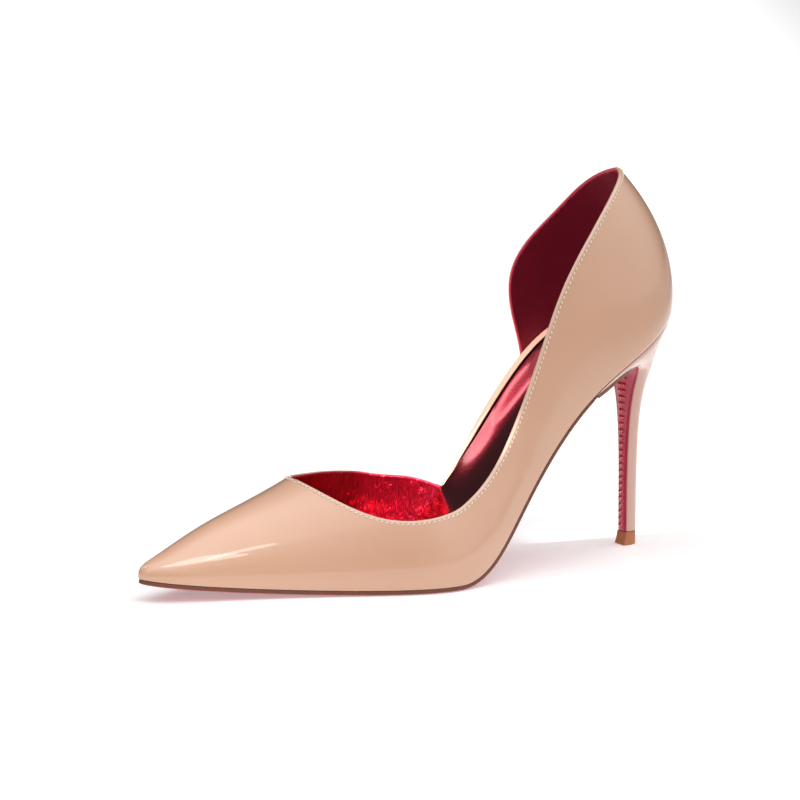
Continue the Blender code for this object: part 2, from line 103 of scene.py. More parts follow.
# The bottom curls up along the inner side of the waist: the inner feather line over the outer one
CURL_COLUMNS = ("x", "rise")
CURL = (
    (136.0, 0.0),
    (148.0, 1.2),
    (160.0, 4.1),
    (170.0, 5.7),
    (182.0, 6.9),
    (195.0, 6.4),
    (210.0, 2.8),
    (228.0, 0.0),
)
CURL_WIDTH = 0.9
CURL_START = 0.25
TOPLINE_COLUMNS = ("x", "height")
OUTER_TOPLINE = (
    (64.0, 37.3),
    (85.0, 26.0),
    (105.0, 25.6),
    (125.0, 27.6),
    (145.0, 23.0),
    (165.0, 27.2),
    (185.0, 40.5),
    (205.0, 52.3),
    (218.0, 57.2),
    (228.0, 58.4),
)
INNER_VAMP_TOPLINE = (
    (64.0, 37.3),
    (74.0, 35.6),
    (84.0, 34.7),
    (94.0, 33.9),
    (104.0, 32.8),
    (114.0, 31.2),
    (124.0, 26.6),
    (133.0, 18.5),
    (139.0, 9.6),
    (143.0, 1.5),
)
INNER_QUARTER_TOPLINE = (
    (178.0, 1.5),
    (179.4, 5.6),
    (182.4, 18.2),
    (187.0, 29.6),
    (196.2, 37.8),
    (209.0, 45.4),
    (219.8, 52.9),
    (228.0, 58.4),
)
UPPER_WALL = 1.6
WALL_STEPS = 200
TOPLINE_STEPS = 600
FRONT_COLUMNS = 56
OUTER_COLUMNS = 170
VAMP_COLUMNS = 90
QUARTER_COLUMNS = 110
UPPER_ROWS = 44
FOLD_REACH = 6.0

# Insole and its binding
INSOLE_THICK = 3.0
INSOLE_INSET = 2.1
INSOLE_TOE = 5.0
INSOLE_TOE_INSET = 1.3
INSOLE_TOE_FADE = 60.0
BINDING_FRONT = 144.0
BINDING_BACK = 206.0
BINDING_ROOM = 1.1
BINDING_FADE = 16.0
BINDING_THICK = 0.7
BINDING_LAP = 2.6
BINDING_LAP_FRONT = 0.8
BINDING_LAP_FULL = 162.0
BINDING_SINK = 1.0
BINDING_SINK_END = 152.0
BINDING_STATIONS = 161
BINDING_CORNER = 9
BINDING_LIP = 7

# Heel
STEM_X = 211.4
STEM_FRONT = 1.6
STEM_BACK = 3.3
STEM_HALF_WIDTH = 3.3
STEM_SQUARENESS = 0.75
TOP_PIECE_HEIGHT = 5.3
SEAT_INSET = 0.4


def to_linear(code):
    """Linear colour of an sRGB hex value."""
    parts = [int(code[i : i + 2], 16) / 255 for i in (1, 3, 5)]
    return tuple(c / 12.92 if c <= 0.04045 else ((c + 0.055) / 1.055) ** 2.4 for c in parts)


def placed(points):
    """Points of the shoe's own axes in the frame's axes, in metres.

    The top piece shows where the solids stand: its back edge and its middle are known in both axes.
    """
    low, high = (np.array(corner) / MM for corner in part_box("top_piece"))
    shift = np.array([high[0] - STEM_X - STEM_BACK, (low[1] + high[1]) / 2, 0.0])
    return (np.asarray(points, float) + shift) * MM


def column(rows, columns, name):
    """One named column of a table as an array."""
    return np.array([row[columns.index(name)] for row in rows])


def spline(xs, ys, x, left=None):
    """Cubic spline through the points, with free ends or a given slope at its left end."""
    count = len(xs)
    step = np.diff(xs)
    slope = np.diff(ys) / step
    matrix = np.eye(count)
    right_side = np.zeros(count)
    for i in range(1, count - 1):
        matrix[i, i - 1 : i + 2] = step[i - 1], 2 * (step[i - 1] + step[i]), step[i]
        right_side[i] = 6 * (slope[i] - slope[i - 1])
    if left is not None:
        matrix[0, :2] = 2 * step[0], step[0]
        right_side[0] = 6 * (slope[0] - left)
    bend = np.linalg.solve(matrix, right_side)
    x = np.asarray(x, float)
    i = np.clip(np.searchsorted(xs, x) - 1, 0, count - 2)
    after = xs[i + 1] - x
    before = x - xs[i]
    cubic = (bend[i] * after**3 + bend[i + 1] * before**3) / (6 * step[i])
    first = (ys[i] / step[i] - bend[i] * step[i] / 6) * after
    second = (ys[i + 1] / step[i] - bend[i + 1] * step[i] / 6) * before
    return cubic + first + second


def soft_step(x, start, end):
    """Smooth rise from 0 to 1 between two places."""
    k = np.clip((np.asarray(x, float) - start) / (end - start), 0, 1)
    return k * k * (3 - 2 * k)


def unit(vectors):
    """Vectors of length one."""
    return vectors / np.maximum(np.linalg.norm(vectors, axis=-1, keepdims=True), SHORTEST)


def walked(points):
    """Distance walked along a path of points."""
    return np.concatenate([[0], np.cumsum(np.linalg.norm(np.diff(points, axis=0), axis=1))])


def resampled(points, steps):
    """Points of a path at given distances along it."""
    run = walked(points)
    return np.stack([np.interp(steps, run, points[:, k]) for k in range(3)], -1)


def turn_of(x):
    """Station number from 0 at the toe tip to 1 at the back, crowded towards both round ends."""
    return np.arccos(np.clip(1 - 2 * np.asarray(x, float) / LENGTH, -1, 1)) / math.pi


def place_of(turn):
    """Place along the shoe of a station number."""
    return LENGTH * (1 - np.cos(math.pi * np.asarray(turn, float))) / 2


def section(name, x):
    """A size of the last at any place, smooth between the sections."""
    places = turn_of(column(LAST_SECTIONS, LAST_COLUMNS, "x"))
    return spline(places, column(LAST_SECTIONS, LAST_COLUMNS, name), turn_of(x))


def feather_height(x):
    """Feather line over the floor: toe spring, flat tread, then the arch up to the seat."""
    x = np.asarray(x, float)
    spring = TOE_SPRING * (np.clip(TREAD_START - x, 0, None) / TREAD_START) ** 2
    rows = column(ARCH, ARCH_COLUMNS, "x"), column(ARCH, ARCH_COLUMNS, "rise")
    rise = np.where(x > TREAD_END, spline(*rows, np.maximum(x, TREAD_END), left=0.0), 0.0)
    return FEATHER_AT_BALL + spring + rise


def bottom_height(x, y):
    """Bottom of the last over the floor: level across, but for the curl up to the inner edge of the waist."""
    places, rises = column(CURL, CURL_COLUMNS, "x"), column(CURL, CURL_COLUMNS, "rise")
    curl = spline(places, rises, np.clip(x, places[0], places[-1]), left=0.0)
    edge = np.maximum(section("inner", x), SHORTEST) * CURL_WIDTH
    return feather_height(x) + np.maximum(curl, 0) * soft_step(np.asarray(y) / edge, CURL_START, 1)


def half_width(x, side):
    """Half width of the feather line on the outer (-1) or inner (+1) side."""
    return np.where(np.asarray(side) < 0, section("outer", x), section("inner", x))


def lean_direction(x):
    """Direction in which the wall climbs, leaning forward."""
    lean = np.radians(section("lean", x))
    return np.stack([-np.sin(lean), 0 * lean, np.cos(lean)], -1)


def crown_point(x):
    """The crown line over the shoe's middle, which closes the vamp."""
    under_crown = section("crown_x", x)
    below = np.stack([under_crown, 0 * under_crown, feather_height(under_crown)], -1)
    return below + lean_direction(x) * section("crown", x)[..., None]


def wall(x, side, t):
    """Point of the last's wall: a cubic curve from the feather line (t 0) to the crown line (t 1).

    In front of the throat the curve arrives in the crown line's own tangent plane, so that the two sides of
    the vamp meet without a crease.
    """
    x = np.asarray(x, float)
    t = np.asarray(t, float)[..., None]
    y = side * half_width(x, side)
    foot = np.stack([x, y, bottom_height(x, y)], -1)
    crown = crown_point(x)
    up = lean_direction(x)
    height = section("crown", x)[..., None]
    across = crown - up * height - foot
    out = -unit(across)
    flare = np.radians(section("flare", x))[..., None]
    stiff = section("stiff", x)[..., None]
    low = foot + height * stiff * (up * np.cos(flare) + out * np.sin(flare))
    throat = OUTER_TOPLINE[0][0]
    front = np.minimum(x, throat)
    ridge = crown_point(front + CROWN_STEP) - crown_point(front)
    along_ridge = across[..., 0] * ridge[..., 2] / ridge[..., 0]
    roof = np.stack([across[..., 0], across[..., 1], along_ridge], -1)
    roof = np.where(x[..., None] < throat, roof, across)
    high = crown - roof * ROOF_PULL
    return (1 - t) ** 3 * foot + 3 * (1 - t) ** 2 * t * low + 3 * (1 - t) * t**2 * high + t**3 * crown


def wall_parameter(x, side, height):
    """The wall's t at which each place reaches its height over the feather line."""
    steps = np.linspace(0, 1, WALL_STEPS + 1)
    grid_x = np.repeat(np.asarray(x, float)[:, None], len(steps), 1)
    points = wall(grid_x, side, np.broadcast_to(steps, grid_x.shape))
    climbs = np.einsum("ijk,ik->ij", points - points[:, :1], lean_direction(x))
    climbs = np.maximum.accumulate(climbs, axis=1)
    return np.array([np.interp(h, climb, steps) for h, climb in zip(height, climbs)])


def along_topline(rows, side, count):
    """Places and wall parameters at equal steps along a topline, measured in space."""
    turn = turn_of(column(rows, TOPLINE_COLUMNS, "x"))
    height = column(rows, TOPLINE_COLUMNS, "height")
    legs = np.hypot(np.diff(turn) * LENGTH * math.pi / 2, np.diff(height))
    run = np.concatenate([[0], np.cumsum(legs)])
    fine = np.linspace(0, run[-1], TOPLINE_STEPS + 1)
    fine_turn = np.minimum(spline(run, turn, fine), 1)
    fine_x = place_of(fine_turn)
    fine_t = wall_parameter(fine_x, side, spline(run, height, fine))
    steps_walked = walked(wall(fine_x, side, fine_t))
    steps = np.linspace(0, steps_walked[-1], count + 1)
    return place_of(np.interp(steps, steps_walked, fine_turn)), np.interp(steps, steps_walked, fine_t)


def upper_grid():
    """Outside of the upper as a grid of upright lines, from the inner vamp round the toe to the quarter.

    Gives the points, their outward normals, their distances from the topline, and the numbers of the lines
    that end at the topline, in order along it. Near the topline the points draw back, by half the wall times
    the tangent of half the angle between the wall and the upright, so that the fold ends level with the
    solid's edge.
    """
    front = place_of(np.linspace(0, turn_of(OUTER_TOPLINE[0][0]), FRONT_COLUMNS + 1))
    vamp_x, vamp_t = along_topline(INNER_VAMP_TOPLINE, 1, VAMP_COLUMNS)
    outer_x, outer_t = along_topline(OUTER_TOPLINE, -1, OUTER_COLUMNS)
    quarter_x, quarter_t = along_topline(INNER_QUARTER_TOPLINE, 1, QUARTER_COLUMNS)
    runs = (
        (vamp_x[:0:-1], 1, vamp_t[:0:-1]),
        (front[::-1], 1, np.ones(len(front))),
        (front[1:], -1, np.ones(len(front) - 1)),
        (outer_x[1:], -1, outer_t[1:]),
        (quarter_x[-2::-1], 1, quarter_t[-2::-1]),
    )
    x = np.concatenate([run[0] for run in runs])
    side = np.concatenate([np.full(len(run[0]), run[1]) for run in runs])
    top = np.concatenate([run[2] for run in runs])
    t = top[:, None] * np.linspace(0, 1, UPPER_ROWS + 1)
    points = wall(np.repeat(x[:, None], UPPER_ROWS + 1, 1), side[:, None], t)
    along = np.gradient(points, axis=0)
    up = np.gradient(points, axis=1, edge_order=2)
    normals = unit(np.cross(along, up))
    toe = VAMP_COLUMNS + FRONT_COLUMNS
    normals[toe, -1] = normals[toe, -2]
    behind = VAMP_COLUMNS + 2 * FRONT_COLUMNS + 1
    rim = np.concatenate([np.arange(VAMP_COLUMNS + 1), np.arange(behind, len(x))])
    edge, out, _, off = rim_frame(points, normals, rim)
    away, nearest = rim_distance(points, edge)
    drawn = UPPER_WALL / 2 * np.sqrt(np.clip((1 - out[:, 2]) / (1 + out[:, 2]), 0, 1))
    points = points - off[nearest] * (drawn[nearest] * np.clip(1 - away / FOLD_REACH, 0, 1) ** 2)[..., None]
    return points, normals, away, rim


def rim_distance(points, edge):
    """Distance of each point from the topline, with the number of the topline's nearest point."""
    flat = points.reshape(-1, 3)
    squares = np.sum(flat**2, 1)[:, None] + np.sum(edge**2, 1)[None] - 2 * flat @ edge.T
    nearest = np.argmin(squares, axis=1)
    away = np.linalg.norm(flat - edge[nearest], axis=1)
    return away.reshape(points.shape[:-1]), nearest.reshape(points.shape[:-1])


def rim_frame(points, normals, rim):
    """Edge points of the topline with their outward normals, the way along it and the way off the leather."""
    edge = points[rim, -1]
    out = normals[rim, -1]
    forward = unit(np.gradient(edge, axis=0))
    off = unit(np.cross(out, forward))
    inwards = edge - points[rim, -2]
    off *= np.sign(np.sum(off * inwards, axis=1).mean())
    return edge, out, forward, off


def quads(columns, rows, around=False, start=0):
    """Faces of a grid of points counted row by row within each column."""
    i = np.arange(columns if around else columns - 1)[:, None]
    k = np.arange(rows - 1)[None]
    j = (i + 1) % columns
    corners = np.stack([i * rows + k, j * rows + k, j * rows + k + 1, i * rows + k + 1], -1)
    return corners.reshape(-1, 4) + start


def loop_faces(stations, ring):
    """Faces between closed loops of points carried along stations, with the points counted loop by loop."""
    faces = quads(ring, stations, around=True)
    return (faces % stations) * ring + faces // stations


def tube_faces(stations, ring):
    """Faces between closed loops carried along stations, with both end loops closed by one face each."""
    last = (stations - 1) * ring
    ends = [list(range(ring)), list(range(last + ring - 1, last - 1, -1))]
    return loop_faces(stations, ring).tolist() + ends


def two_sheets(first, second):
    """Points and faces of two grids of points put into one mesh."""
    faces = [quads(*first.shape[:2]), quads(*second.shape[:2], start=first.shape[0] * first.shape[1])]
    return np.concatenate([first.reshape(-1, 3), second.reshape(-1, 3)]), np.concatenate(faces)


def rolled_edge(edge, out, off, radius, angle):
    """A round roll along an edge: it leaves in the direction off and turns back under the outer side."""
    angle = angle[None, :, None]
    roll = edge[:, None] + off[:, None] * radius * np.sin(angle)
    return roll - out[:, None] * radius * (1 - np.cos(angle))


def inset_outline(turn, side, inset):
    """Plan of the feather line moved inwards by an inset."""
    x = place_of(turn)
    y = side * half_width(x, side)
    ahead = np.gradient(x, turn)
    sideways = np.gradient(y, turn)
    pace = np.hypot(ahead, sideways)
    return x + side * sideways / pace * inset, y - side * ahead / pace * inset


def bottom_normal(x, y):
    """Unit normal of the bottom of the last at a place."""
    along = (bottom_height(x + SLOPE_STEP, y) - bottom_height(x - SLOPE_STEP, y)) / (2 * SLOPE_STEP)
    across = (bottom_height(x, y + SLOPE_STEP) - bottom_height(x, y - SLOPE_STEP)) / (2 * SLOPE_STEP)
    return unit(np.stack([-along, -across, np.ones_like(along)], -1))


def fill(tree, node, **inputs):
    """Fill a node's inputs, named with _ for a space or numbered after a _.

    A value is set, and a socket or a node's first output is linked.
    """
    for name, value in inputs.items():
        socket = node.inputs[int(name[1:])] if name[0] == "_" else node.inputs[name.replace("_", " ")]
        if isinstance(value, bpy.types.Node):
            value = value.outputs[0]
        if isinstance(value, bpy.types.NodeSocket):
            tree.links.new(value, socket)
        else:
            socket.default_value = value


def add(tree, kind, settings=(), **inputs):
    """Add a node, give it its own settings, then fill its inputs."""
    node = tree.nodes.new("ShaderNode" + kind)
    for name, value in dict(settings).items():
        setattr(node, name, value)
    fill(tree, node, **inputs)
    return node


def new_look(name, colour, **settings):
    """A material with the uniform values of its Principled shader set.

    Gives the material, its tree, its shader and the Object coordinates that its patterns lie on.
    """
    look = bpy.data.materials.new(name)
    look.use_nodes = True
    tree = look.node_tree
    shader = tree.nodes["Principled BSDF"]
    fill(tree, shader, Base_Color=colour, **settings)
    return look, tree, shader, add(tree, "TexCoord").outputs["Object"]


def add_piece(name, points, faces, look, replaced=None, marks=(), closed=False, crisp=None):
    """A mesh object from points in the shoe's axes: doubled points joined, riding on the shoe's one body.

    marks are named values at the points that a material reads. A closed piece has its faces turned outwards.
    Edges sharper than crisp, in degrees, stay crisp.
    """
    mesh = bpy.data.meshes.new(name)
    corners = [[int(i) for i in dict.fromkeys(face)] for face in faces]
    mesh.from_pydata(placed(np.asarray(points).reshape(-1, 3)).tolist(), [], corners)
    for mark, values in dict(marks).items():
        layer = mesh.attributes.new(mark, "FLOAT", "POINT")
        layer.data.foreach_set("value", np.ascontiguousarray(values, np.float32).ravel())
    shape = bmesh.new()
    shape.from_mesh(mesh)
    bmesh.ops.remove_doubles(shape, verts=shape.verts, dist=JOIN_WITHIN * MM)
    bmesh.ops.dissolve_degenerate(shape, edges=shape.edges, dist=JOIN_WITHIN * MM / 4)
    if closed:
        bmesh.ops.recalc_face_normals(shape, faces=shape.faces)
    shape.to_mesh(mesh)
    shape.free()
    mesh.shade_smooth()
    if crisp is not None:
        mesh.set_sharp_from_angle(angle=math.radians(crisp))
    mesh.materials.append(look)
    made = bpy.data.objects.new(name, mesh)
    bpy.context.scene.collection.objects.link(made)
    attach(made, "root")
    if replaced:
        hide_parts(replaced)
    return made


def thicken(thing, thickness):
    """Give a sheet its wall, grown behind its faces."""
    wall_of = thing.modifiers.new("wall", "SOLIDIFY")
    wall_of.thickness = thickness * MM
    wall_of.offset = -1
    wall_of.use_quality_normals = True


# Soft troughs (minus) and ridges (plus) of the patent skin: two ends, half width and depth in millimetres
CREASE_COLUMNS = ("x1", "y1", "z1", "x2", "y2", "z2", "half", "depth")
SKIN_CREASES = (
    (61.0, -17.5, 27.0, 64.0, -16.5, 29.0, 1.8, -0.07),
    (118.0, -43.0, 10.0, 127.0, -41.5, 26.0, 6.0, -0.14),
    (133.0, -38.5, 16.0, 141.0, -35.0, 33.0, 5.0, 0.12),
    (186.0, -31.0, 92.0, 192.0, -28.5, 108.0, 5.0, -0.10),
    (204.0, -27.0, 96.0, 214.0, -22.0, 104.0, 6.0, 0.10),
    (196.0, 28.0, 92.0, 204.0, 25.0, 106.0, 6.0, -0.10),
)
LINING_CREASES = (
    (70.0, 27.0, 19.0, 78.0, 24.0, 33.0, 1.5, 0.50),
    (75.0, 29.5, 15.0, 84.0, 26.0, 33.0, 1.6, 0.60),
    (80.0, 31.5, 13.0, 89.0, 27.5, 33.0, 1.4, 0.55),
    (86.0, 32.5, 12.0, 94.0, 29.0, 32.0, 1.7, 0.65),
    (92.0, 33.0, 11.0, 102.0, 29.0, 31.0, 1.5, 0.60),
    (98.0, 33.0, 11.0, 110.0, 28.5, 30.0, 1.6, 0.65),
    (105.0, 32.0, 12.0, 117.0, 27.5, 28.0, 1.5, 0.55),
    (90.0, 31.5, 20.0, 112.0, 29.5, 24.0, 1.8, -0.45),
    (96.0, 33.0, 13.0, 118.0, 29.0, 18.0, 1.6, 0.45),
)


def crease_field(points, rows):
    """Height of soft creases: for each, its depth times a bell curve of the distance from its line."""
    total = np.zeros(points.shape[:-1])
    for row in rows:
        first, last = np.array(row[:3]), np.array(row[3:6])
        half, depth = row[CREASE_COLUMNS.index("half")], row[CREASE_COLUMNS.index("depth")]
        along = last - first
        k = np.clip((points - first) @ along / (along @ along), 0, 1)
        away = np.linalg.norm(points - first - k[..., None] * along, axis=-1)
        total += depth * np.exp(-((away / half) ** 2))
    return total


def length(label, words, metres):
    """A length that a user would change."""
    return bpy.props.FloatProperty(name=label, description=words, default=metres, unit="LENGTH")


def tint(label, words, code):
    """A colour that a user would change, from its sRGB hex value."""
    linear = to_linear(code)
    return bpy.props.FloatVectorProperty(name=label, description=words, default=linear, subtype="COLOR")


class PumpShapes(bpy.types.PropertyGroup):
    """Sizes of the dressed shoe that a user would change."""

    fold_end: bpy.props.FloatProperty(
        name="Fold end",
        description="How far the patent skin turns over the topline",
        default=math.radians(100),
        subtype="ANGLE",
    )
    skin: length("Skin", "Thickness of the patent leather", 0.0007)
    lining: length("Lining", "Thickness of the lining", 0.0004)
    stitch_pitch: length("Stitch pitch", "Distance from stitch to stitch", 0.002)
    stitch_length: length("Stitch length", "Length of a stitch on the outside", 0.0014)
    stitch_inset: length("Stitch inset", "Distance of the row from the edge", 0.0007)
    thread: length("Thread", "Thickness of the sewing thread", 0.00055)
    sole_edge: length("Sole edge", "Height of the plain sole edge over its bevel", 0.0013)
    sole_bevel: length("Sole bevel", "Width of the bevel under the edge", 0.0022)
    stone: length("Stone", "Width of a stone on the breast panel", 0.0018)
    stone_pitch: length("Stone pitch", "Distance from stone to stone", 0.00265)


class PumpColours(bpy.types.PropertyGroup):
    """Colours of the dressed shoe that a user would change."""

    patent: tint("Patent", "Patent leather", "#CC9F83")
    patent_deep: tint("Patent, deep", "Deeper tone of the patent leather", "#C6987C")
    heel: tint("Heel", "Patent leather of the heel cover", "#CBA190")
    # The binding's tone is lighter than the patent's: painted light that makes up for the shade it lies in
    binding: tint("Binding", "Patent leather of the binding", "#DDAA91")
    thread: tint("Thread", "Sewing thread", "#EBD3C0")
    lining: tint("Lining", "Foil lining of the vamp", "#C81430")
    lining_edge: tint("Lining edge", "Edge of the lining at the topline", "#C9304A")
    quarter_lining: tint("Quarter lining", "Satin lining of the quarter", "#8E1C33")
    sock: tint("Sock", "Foil sock on the insole", "#7C1624")
    sole_edge: tint("Sole edge", "Plain leather edge of the sole", "#7E4A31")
    sole: tint("Sole", "Lacquered bottom of the sole", "#B0152B")
    panel: tint("Panel", "Ground of the breast panel", "#B44A66")
    panel_side: tint("Panel side", "Plain strip at the panel's sides", "#B01A3E")
    stone: tint("Stone", "Cut glass stones", "#E3122F")
    top_piece: tint("Top piece", "Tip of the heel", "#A5673F")


class PumpStage(bpy.types.PropertyGroup):
    """Camera and light that a user would change."""

    azimuth: bpy.props.FloatProperty(
        name="Azimuth", description="Camera's turn towards the toe", default=math.radians(30), subtype="ANGLE"
    )
    elevation: bpy.props.FloatProperty(
        name="Elevation", description="Camera's height angle", default=math.radians(9.9), subtype="ANGLE"
    )
    distance: bpy.props.FloatProperty(
        name="Distance", description="Camera to the shoe", default=1.7, unit="LENGTH"
    )
    lens: bpy.props.FloatProperty(
        name="Lens", description="Focal length of the camera in millimetres", default=203.9
    )
    dome: bpy.props.FloatProperty(
        name="Dome", description="Brightness of the studio overhead", default=1.95
    )
    horizon: bpy.props.FloatProperty(
        name="Horizon", description="Brightness of the studio at the height of the floor", default=0.15
    )


def shapes():
    """Sizes of the sidebar in millimetres, by name."""
    group = bpy.context.scene.pump_shapes
    return {name: getattr(group, name) / MM for name in group.__annotations__ if name != "fold_end"}


def colours():
    """Colours of the sidebar with full cover, by name."""
    group = bpy.context.scene.pump_colours
    return {name: (*getattr(group, name), 1.0) for name in group.__annotations__}


def toned(colour, factor):
    """A colour made lighter or darker by a factor."""
    return (*(min(1.0, factor * c) for c in colour[:3]), 1.0)


def per_mm(size):
    """Scale of a pattern whose features are a size in millimetres across, on Object coordinates in metres."""
    return 1 / (size * MM)


# Painted shade in the groove along the stitches: its darkest value, and the groove's half width in mm
GROOVE_SHADE = 0.72
GROOVE_HALF = 0.6


def patent_look(name, leather="patent", folded=False):
    """Patent leather: smooth split leather under a poured clear film, so soft colour with mirror-like gloss.

    The film is not quite flat: faint waves a few millimetres across make the reflections swim. Where folded,
    the skin is painted paler near its fold, a painted highlight along the rolled edge, and drawn down in a
    groove along the row of stitches, where its colour is darkened as painted shade.
    """
    tones = colours()
    look, tree, shader, place = new_look(
        name, tones[leather], Roughness=0.36, IOR=1.5, Coat_Weight=1.0, Coat_Roughness=0.05, Coat_IOR=1.5
    )
    mottle = add(tree, "TexNoise", Vector=place, Scale=per_mm(22), Detail=2.0)
    deep = tuple(c * d / p for c, d, p in zip(tones[leather], tones["patent_deep"], tones["patent"]))
    tone = add(tree, "MixRGB", Fac=mottle, Color1=tones[leather], Color2=deep)
    pores = add(tree, "TexNoise", Vector=place, Scale=per_mm(0.9), Detail=2.0)
    grain = add(tree, "Bump", Strength=0.2, Distance=0.03 * MM, Height=pores)
    waves = add(tree, "TexNoise", Vector=place, Scale=per_mm(6.5), Detail=1.0)
    film = add(tree, "Bump", Strength=0.3, Distance=0.05 * MM, Height=waves)
    if folded:
        rim = add(tree, "Attribute", {"attribute_name": "rim"}).outputs["Fac"]
        # Painted highlight: near the fold the skin's colour is mixed towards the pale thread colour
        fold_highlight = add(tree, "MapRange", Value=rim, From_Min=0.2, From_Max=1.4, To_Min=0.35, To_Max=0.0)
        tone = add(tree, "MixRGB", Fac=fold_highlight, Color1=tone, Color2=tones["thread"])
        beside = add(tree, "Math", {"operation": "SUBTRACT"}, _0=rim, _1=shapes()["stitch_inset"])
        width = add(tree, "Math", {"operation": "ABSOLUTE"}, _0=beside)
        smooth = {"interpolation_type": "SMOOTHSTEP"}
        groove = add(tree, "MapRange", smooth, Value=width, From_Max=GROOVE_HALF)
        # Painted shade: the skin's colour is darkened in the groove along the stitches
        shade = add(tree, "MapRange", Value=groove, To_Min=GROOVE_SHADE, To_Max=1.0)
        tone = add(tree, "HueSaturation", Value=shade, Color=tone)
        for bump in (grain, film):
            drawn = add(tree, "Bump", Strength=0.35, Distance=0.15 * MM, Height=groove)
            fill(tree, bump, Normal=drawn)
    fill(tree, shader, Base_Color=tone, Coat_Normal=film, Normal=grain)
    return look


def lining_look():
    """Foil-finished lining leather: a crimson metal film with glinting wrinkles, duller satin at the back."""
    tones = colours()
    look, tree, shader, place = new_look(
        "foil_finished_lining", tones["lining"], Coat_Weight=0.35, Coat_Roughness=0.2
    )
    back = add(tree, "Attribute", {"attribute_name": "back"}).outputs["Fac"]
    fold = add(tree, "Attribute", {"attribute_name": "fold"}).outputs["Fac"]
    fibre = add(tree, "TexNoise", Vector=place, Scale=per_mm(3), Detail=4.0)
    satin = add(tree, "MixRGB", Fac=back, Color1=tones["lining"], Color2=tones["quarter_lining"])
    tone = add(tree, "MixRGB", Fac=fold, Color1=satin, Color2=tones["lining_edge"])
    value = add(tree, "MapRange", Value=fibre, To_Min=0.8, To_Max=1.2)
    worn = add(tree, "HueSaturation", Value=value, Color=tone)
    metal = add(tree, "MapRange", Value=back, To_Min=0.88, To_Max=0.3)
    rough = add(tree, "MapRange", Value=back, To_Min=0.36, To_Max=0.46)
    long = add(tree, "Mapping", Vector=place, Scale=(per_mm(1.7), per_mm(8), per_mm(6)))
    wrinkles = add(tree, "TexNoise", Vector=long, Scale=1.0, Detail=4.0, Distortion=1.2)
    deep = add(tree, "MapRange", Value=back, To_Min=0.9, To_Max=0.05)
    grain = add(tree, "TexVoronoi", {"feature": "F1"}, Vector=place, Scale=per_mm(0.8))
    fine = add(tree, "Bump", Strength=0.25, Distance=0.05 * MM, Height=grain)
    creased = add(tree, "Bump", Strength=deep, Distance=1.5 * MM, Height=wrinkles, Normal=fine)
    fill(tree, shader, Base_Color=worn, Metallic=metal, Roughness=rough, Normal=creased)
    return look


def sock_look():
    """Foil-finished sock leather: a pressed burgundy metal film under lacquer, mottled light and dark."""
    tones = colours()
    look, tree, shader, place = new_look(
        "foil_finished_sock",
        tones["sock"],
        Metallic=1.0,
        Roughness=0.16,
        Coat_Weight=0.6,
        Coat_Roughness=0.08,
    )
    patches = add(tree, "TexNoise", Vector=place, Scale=per_mm(14), Detail=3.0)
    value = add(tree, "MapRange", Value=patches, To_Min=0.85, To_Max=1.15)
    worn = add(tree, "HueSaturation", Value=value, Color=tones["sock"])
    grain = add(tree, "TexVoronoi", {"feature": "F1"}, Vector=place, Scale=per_mm(0.9))
    bump = add(tree, "Bump", Strength=0.2, Distance=0.04 * MM, Height=grain)
    fill(tree, shader, Base_Color=worn, Normal=bump)
    return look


def thread_look():
    """Waxed polyester sewing thread: a twisted yarn with a soft sheen."""
    look, tree, shader, place = new_look(
        "waxed_sewing_thread", colours()["thread"], Roughness=0.45, Coat_Weight=0.3
    )
    twist = add(tree, "TexWave", {"bands_direction": "DIAGONAL"}, Vector=place, Scale=per_mm(2.4))
    bump = add(tree, "Bump", Strength=0.3, Distance=0.05 * MM, Height=twist.outputs["Fac"])
    fill(tree, shader, Normal=bump)
    return look


def sole_look():
    """Sole leather: a cut edge of brown fibres and a bottom lacquered red, which runs up the bevel."""
    tones = colours()
    look, tree, shader, place = new_look(
        "lacquered_sole_leather", tones["sole"], Roughness=0.4, Coat_Roughness=0.12
    )
    edge = add(tree, "Attribute", {"attribute_name": "edge"}).outputs["Fac"]
    run = add(tree, "TexNoise", Vector=place, Scale=per_mm(1.6), Detail=3.0)
    uneven = add(tree, "MapRange", Value=run, To_Min=-0.3, To_Max=0.3)
    line = add(tree, "Math", {"operation": "ADD"}, _0=edge, _1=uneven)
    cut = add(tree, "MapRange", Value=line, From_Min=0.42, From_Max=0.58)
    fibre = add(tree, "TexNoise", Vector=place, Scale=per_mm(0.7), Detail=4.0)
    dark = toned(tones["sole_edge"], 0.35)
    brown = add(tree, "MixRGB", Fac=fibre, Color1=dark, Color2=tones["sole_edge"])
    tone = add(tree, "MixRGB", Fac=cut, Color1=tones["sole"], Color2=brown)
    rough = add(tree, "MapRange", Value=cut, To_Min=0.22, To_Max=0.6)
    bump = add(tree, "Bump", Strength=0.4, Distance=0.05 * MM, Height=fibre)
    fill(tree, shader, Base_Color=tone, Roughness=rough, Normal=bump)
    return look


def panel_look():
    """Breast panel: leather turned down the heel, painted rose under the stones and crimson at its sides."""
    tones = colours()
    look, tree, shader, place = new_look(
        "painted_breast_leather", tones["panel"], Roughness=0.5, Coat_Weight=0.1, Coat_Roughness=0.2
    )
    border = add(tree, "Attribute", {"attribute_name": "border"}).outputs["Fac"]
    edge = add(tree, "Attribute", {"attribute_name": "edge"}).outputs["Fac"]
    speck = add(tree, "TexNoise", Vector=place, Scale=per_mm(0.8), Detail=3.0)
    light = toned(tones["panel"], 1.25)
    ground = add(tree, "MixRGB", Fac=speck, Color1=tones["panel"], Color2=light)
    strip = add(tree, "MapRange", Value=border, From_Min=0.3, From_Max=0.5)
    tone = add(tree, "MixRGB", Fac=strip, Color1=ground, Color2=tones["panel_side"])
    brown = add(tree, "MixRGB", Fac=edge, Color1=tone, Color2=tones["sole_edge"])
    bump = add(tree, "Bump", Strength=0.3, Distance=0.05 * MM, Height=speck)
    fill(tree, shader, Base_Color=brown, Normal=bump)
    return look


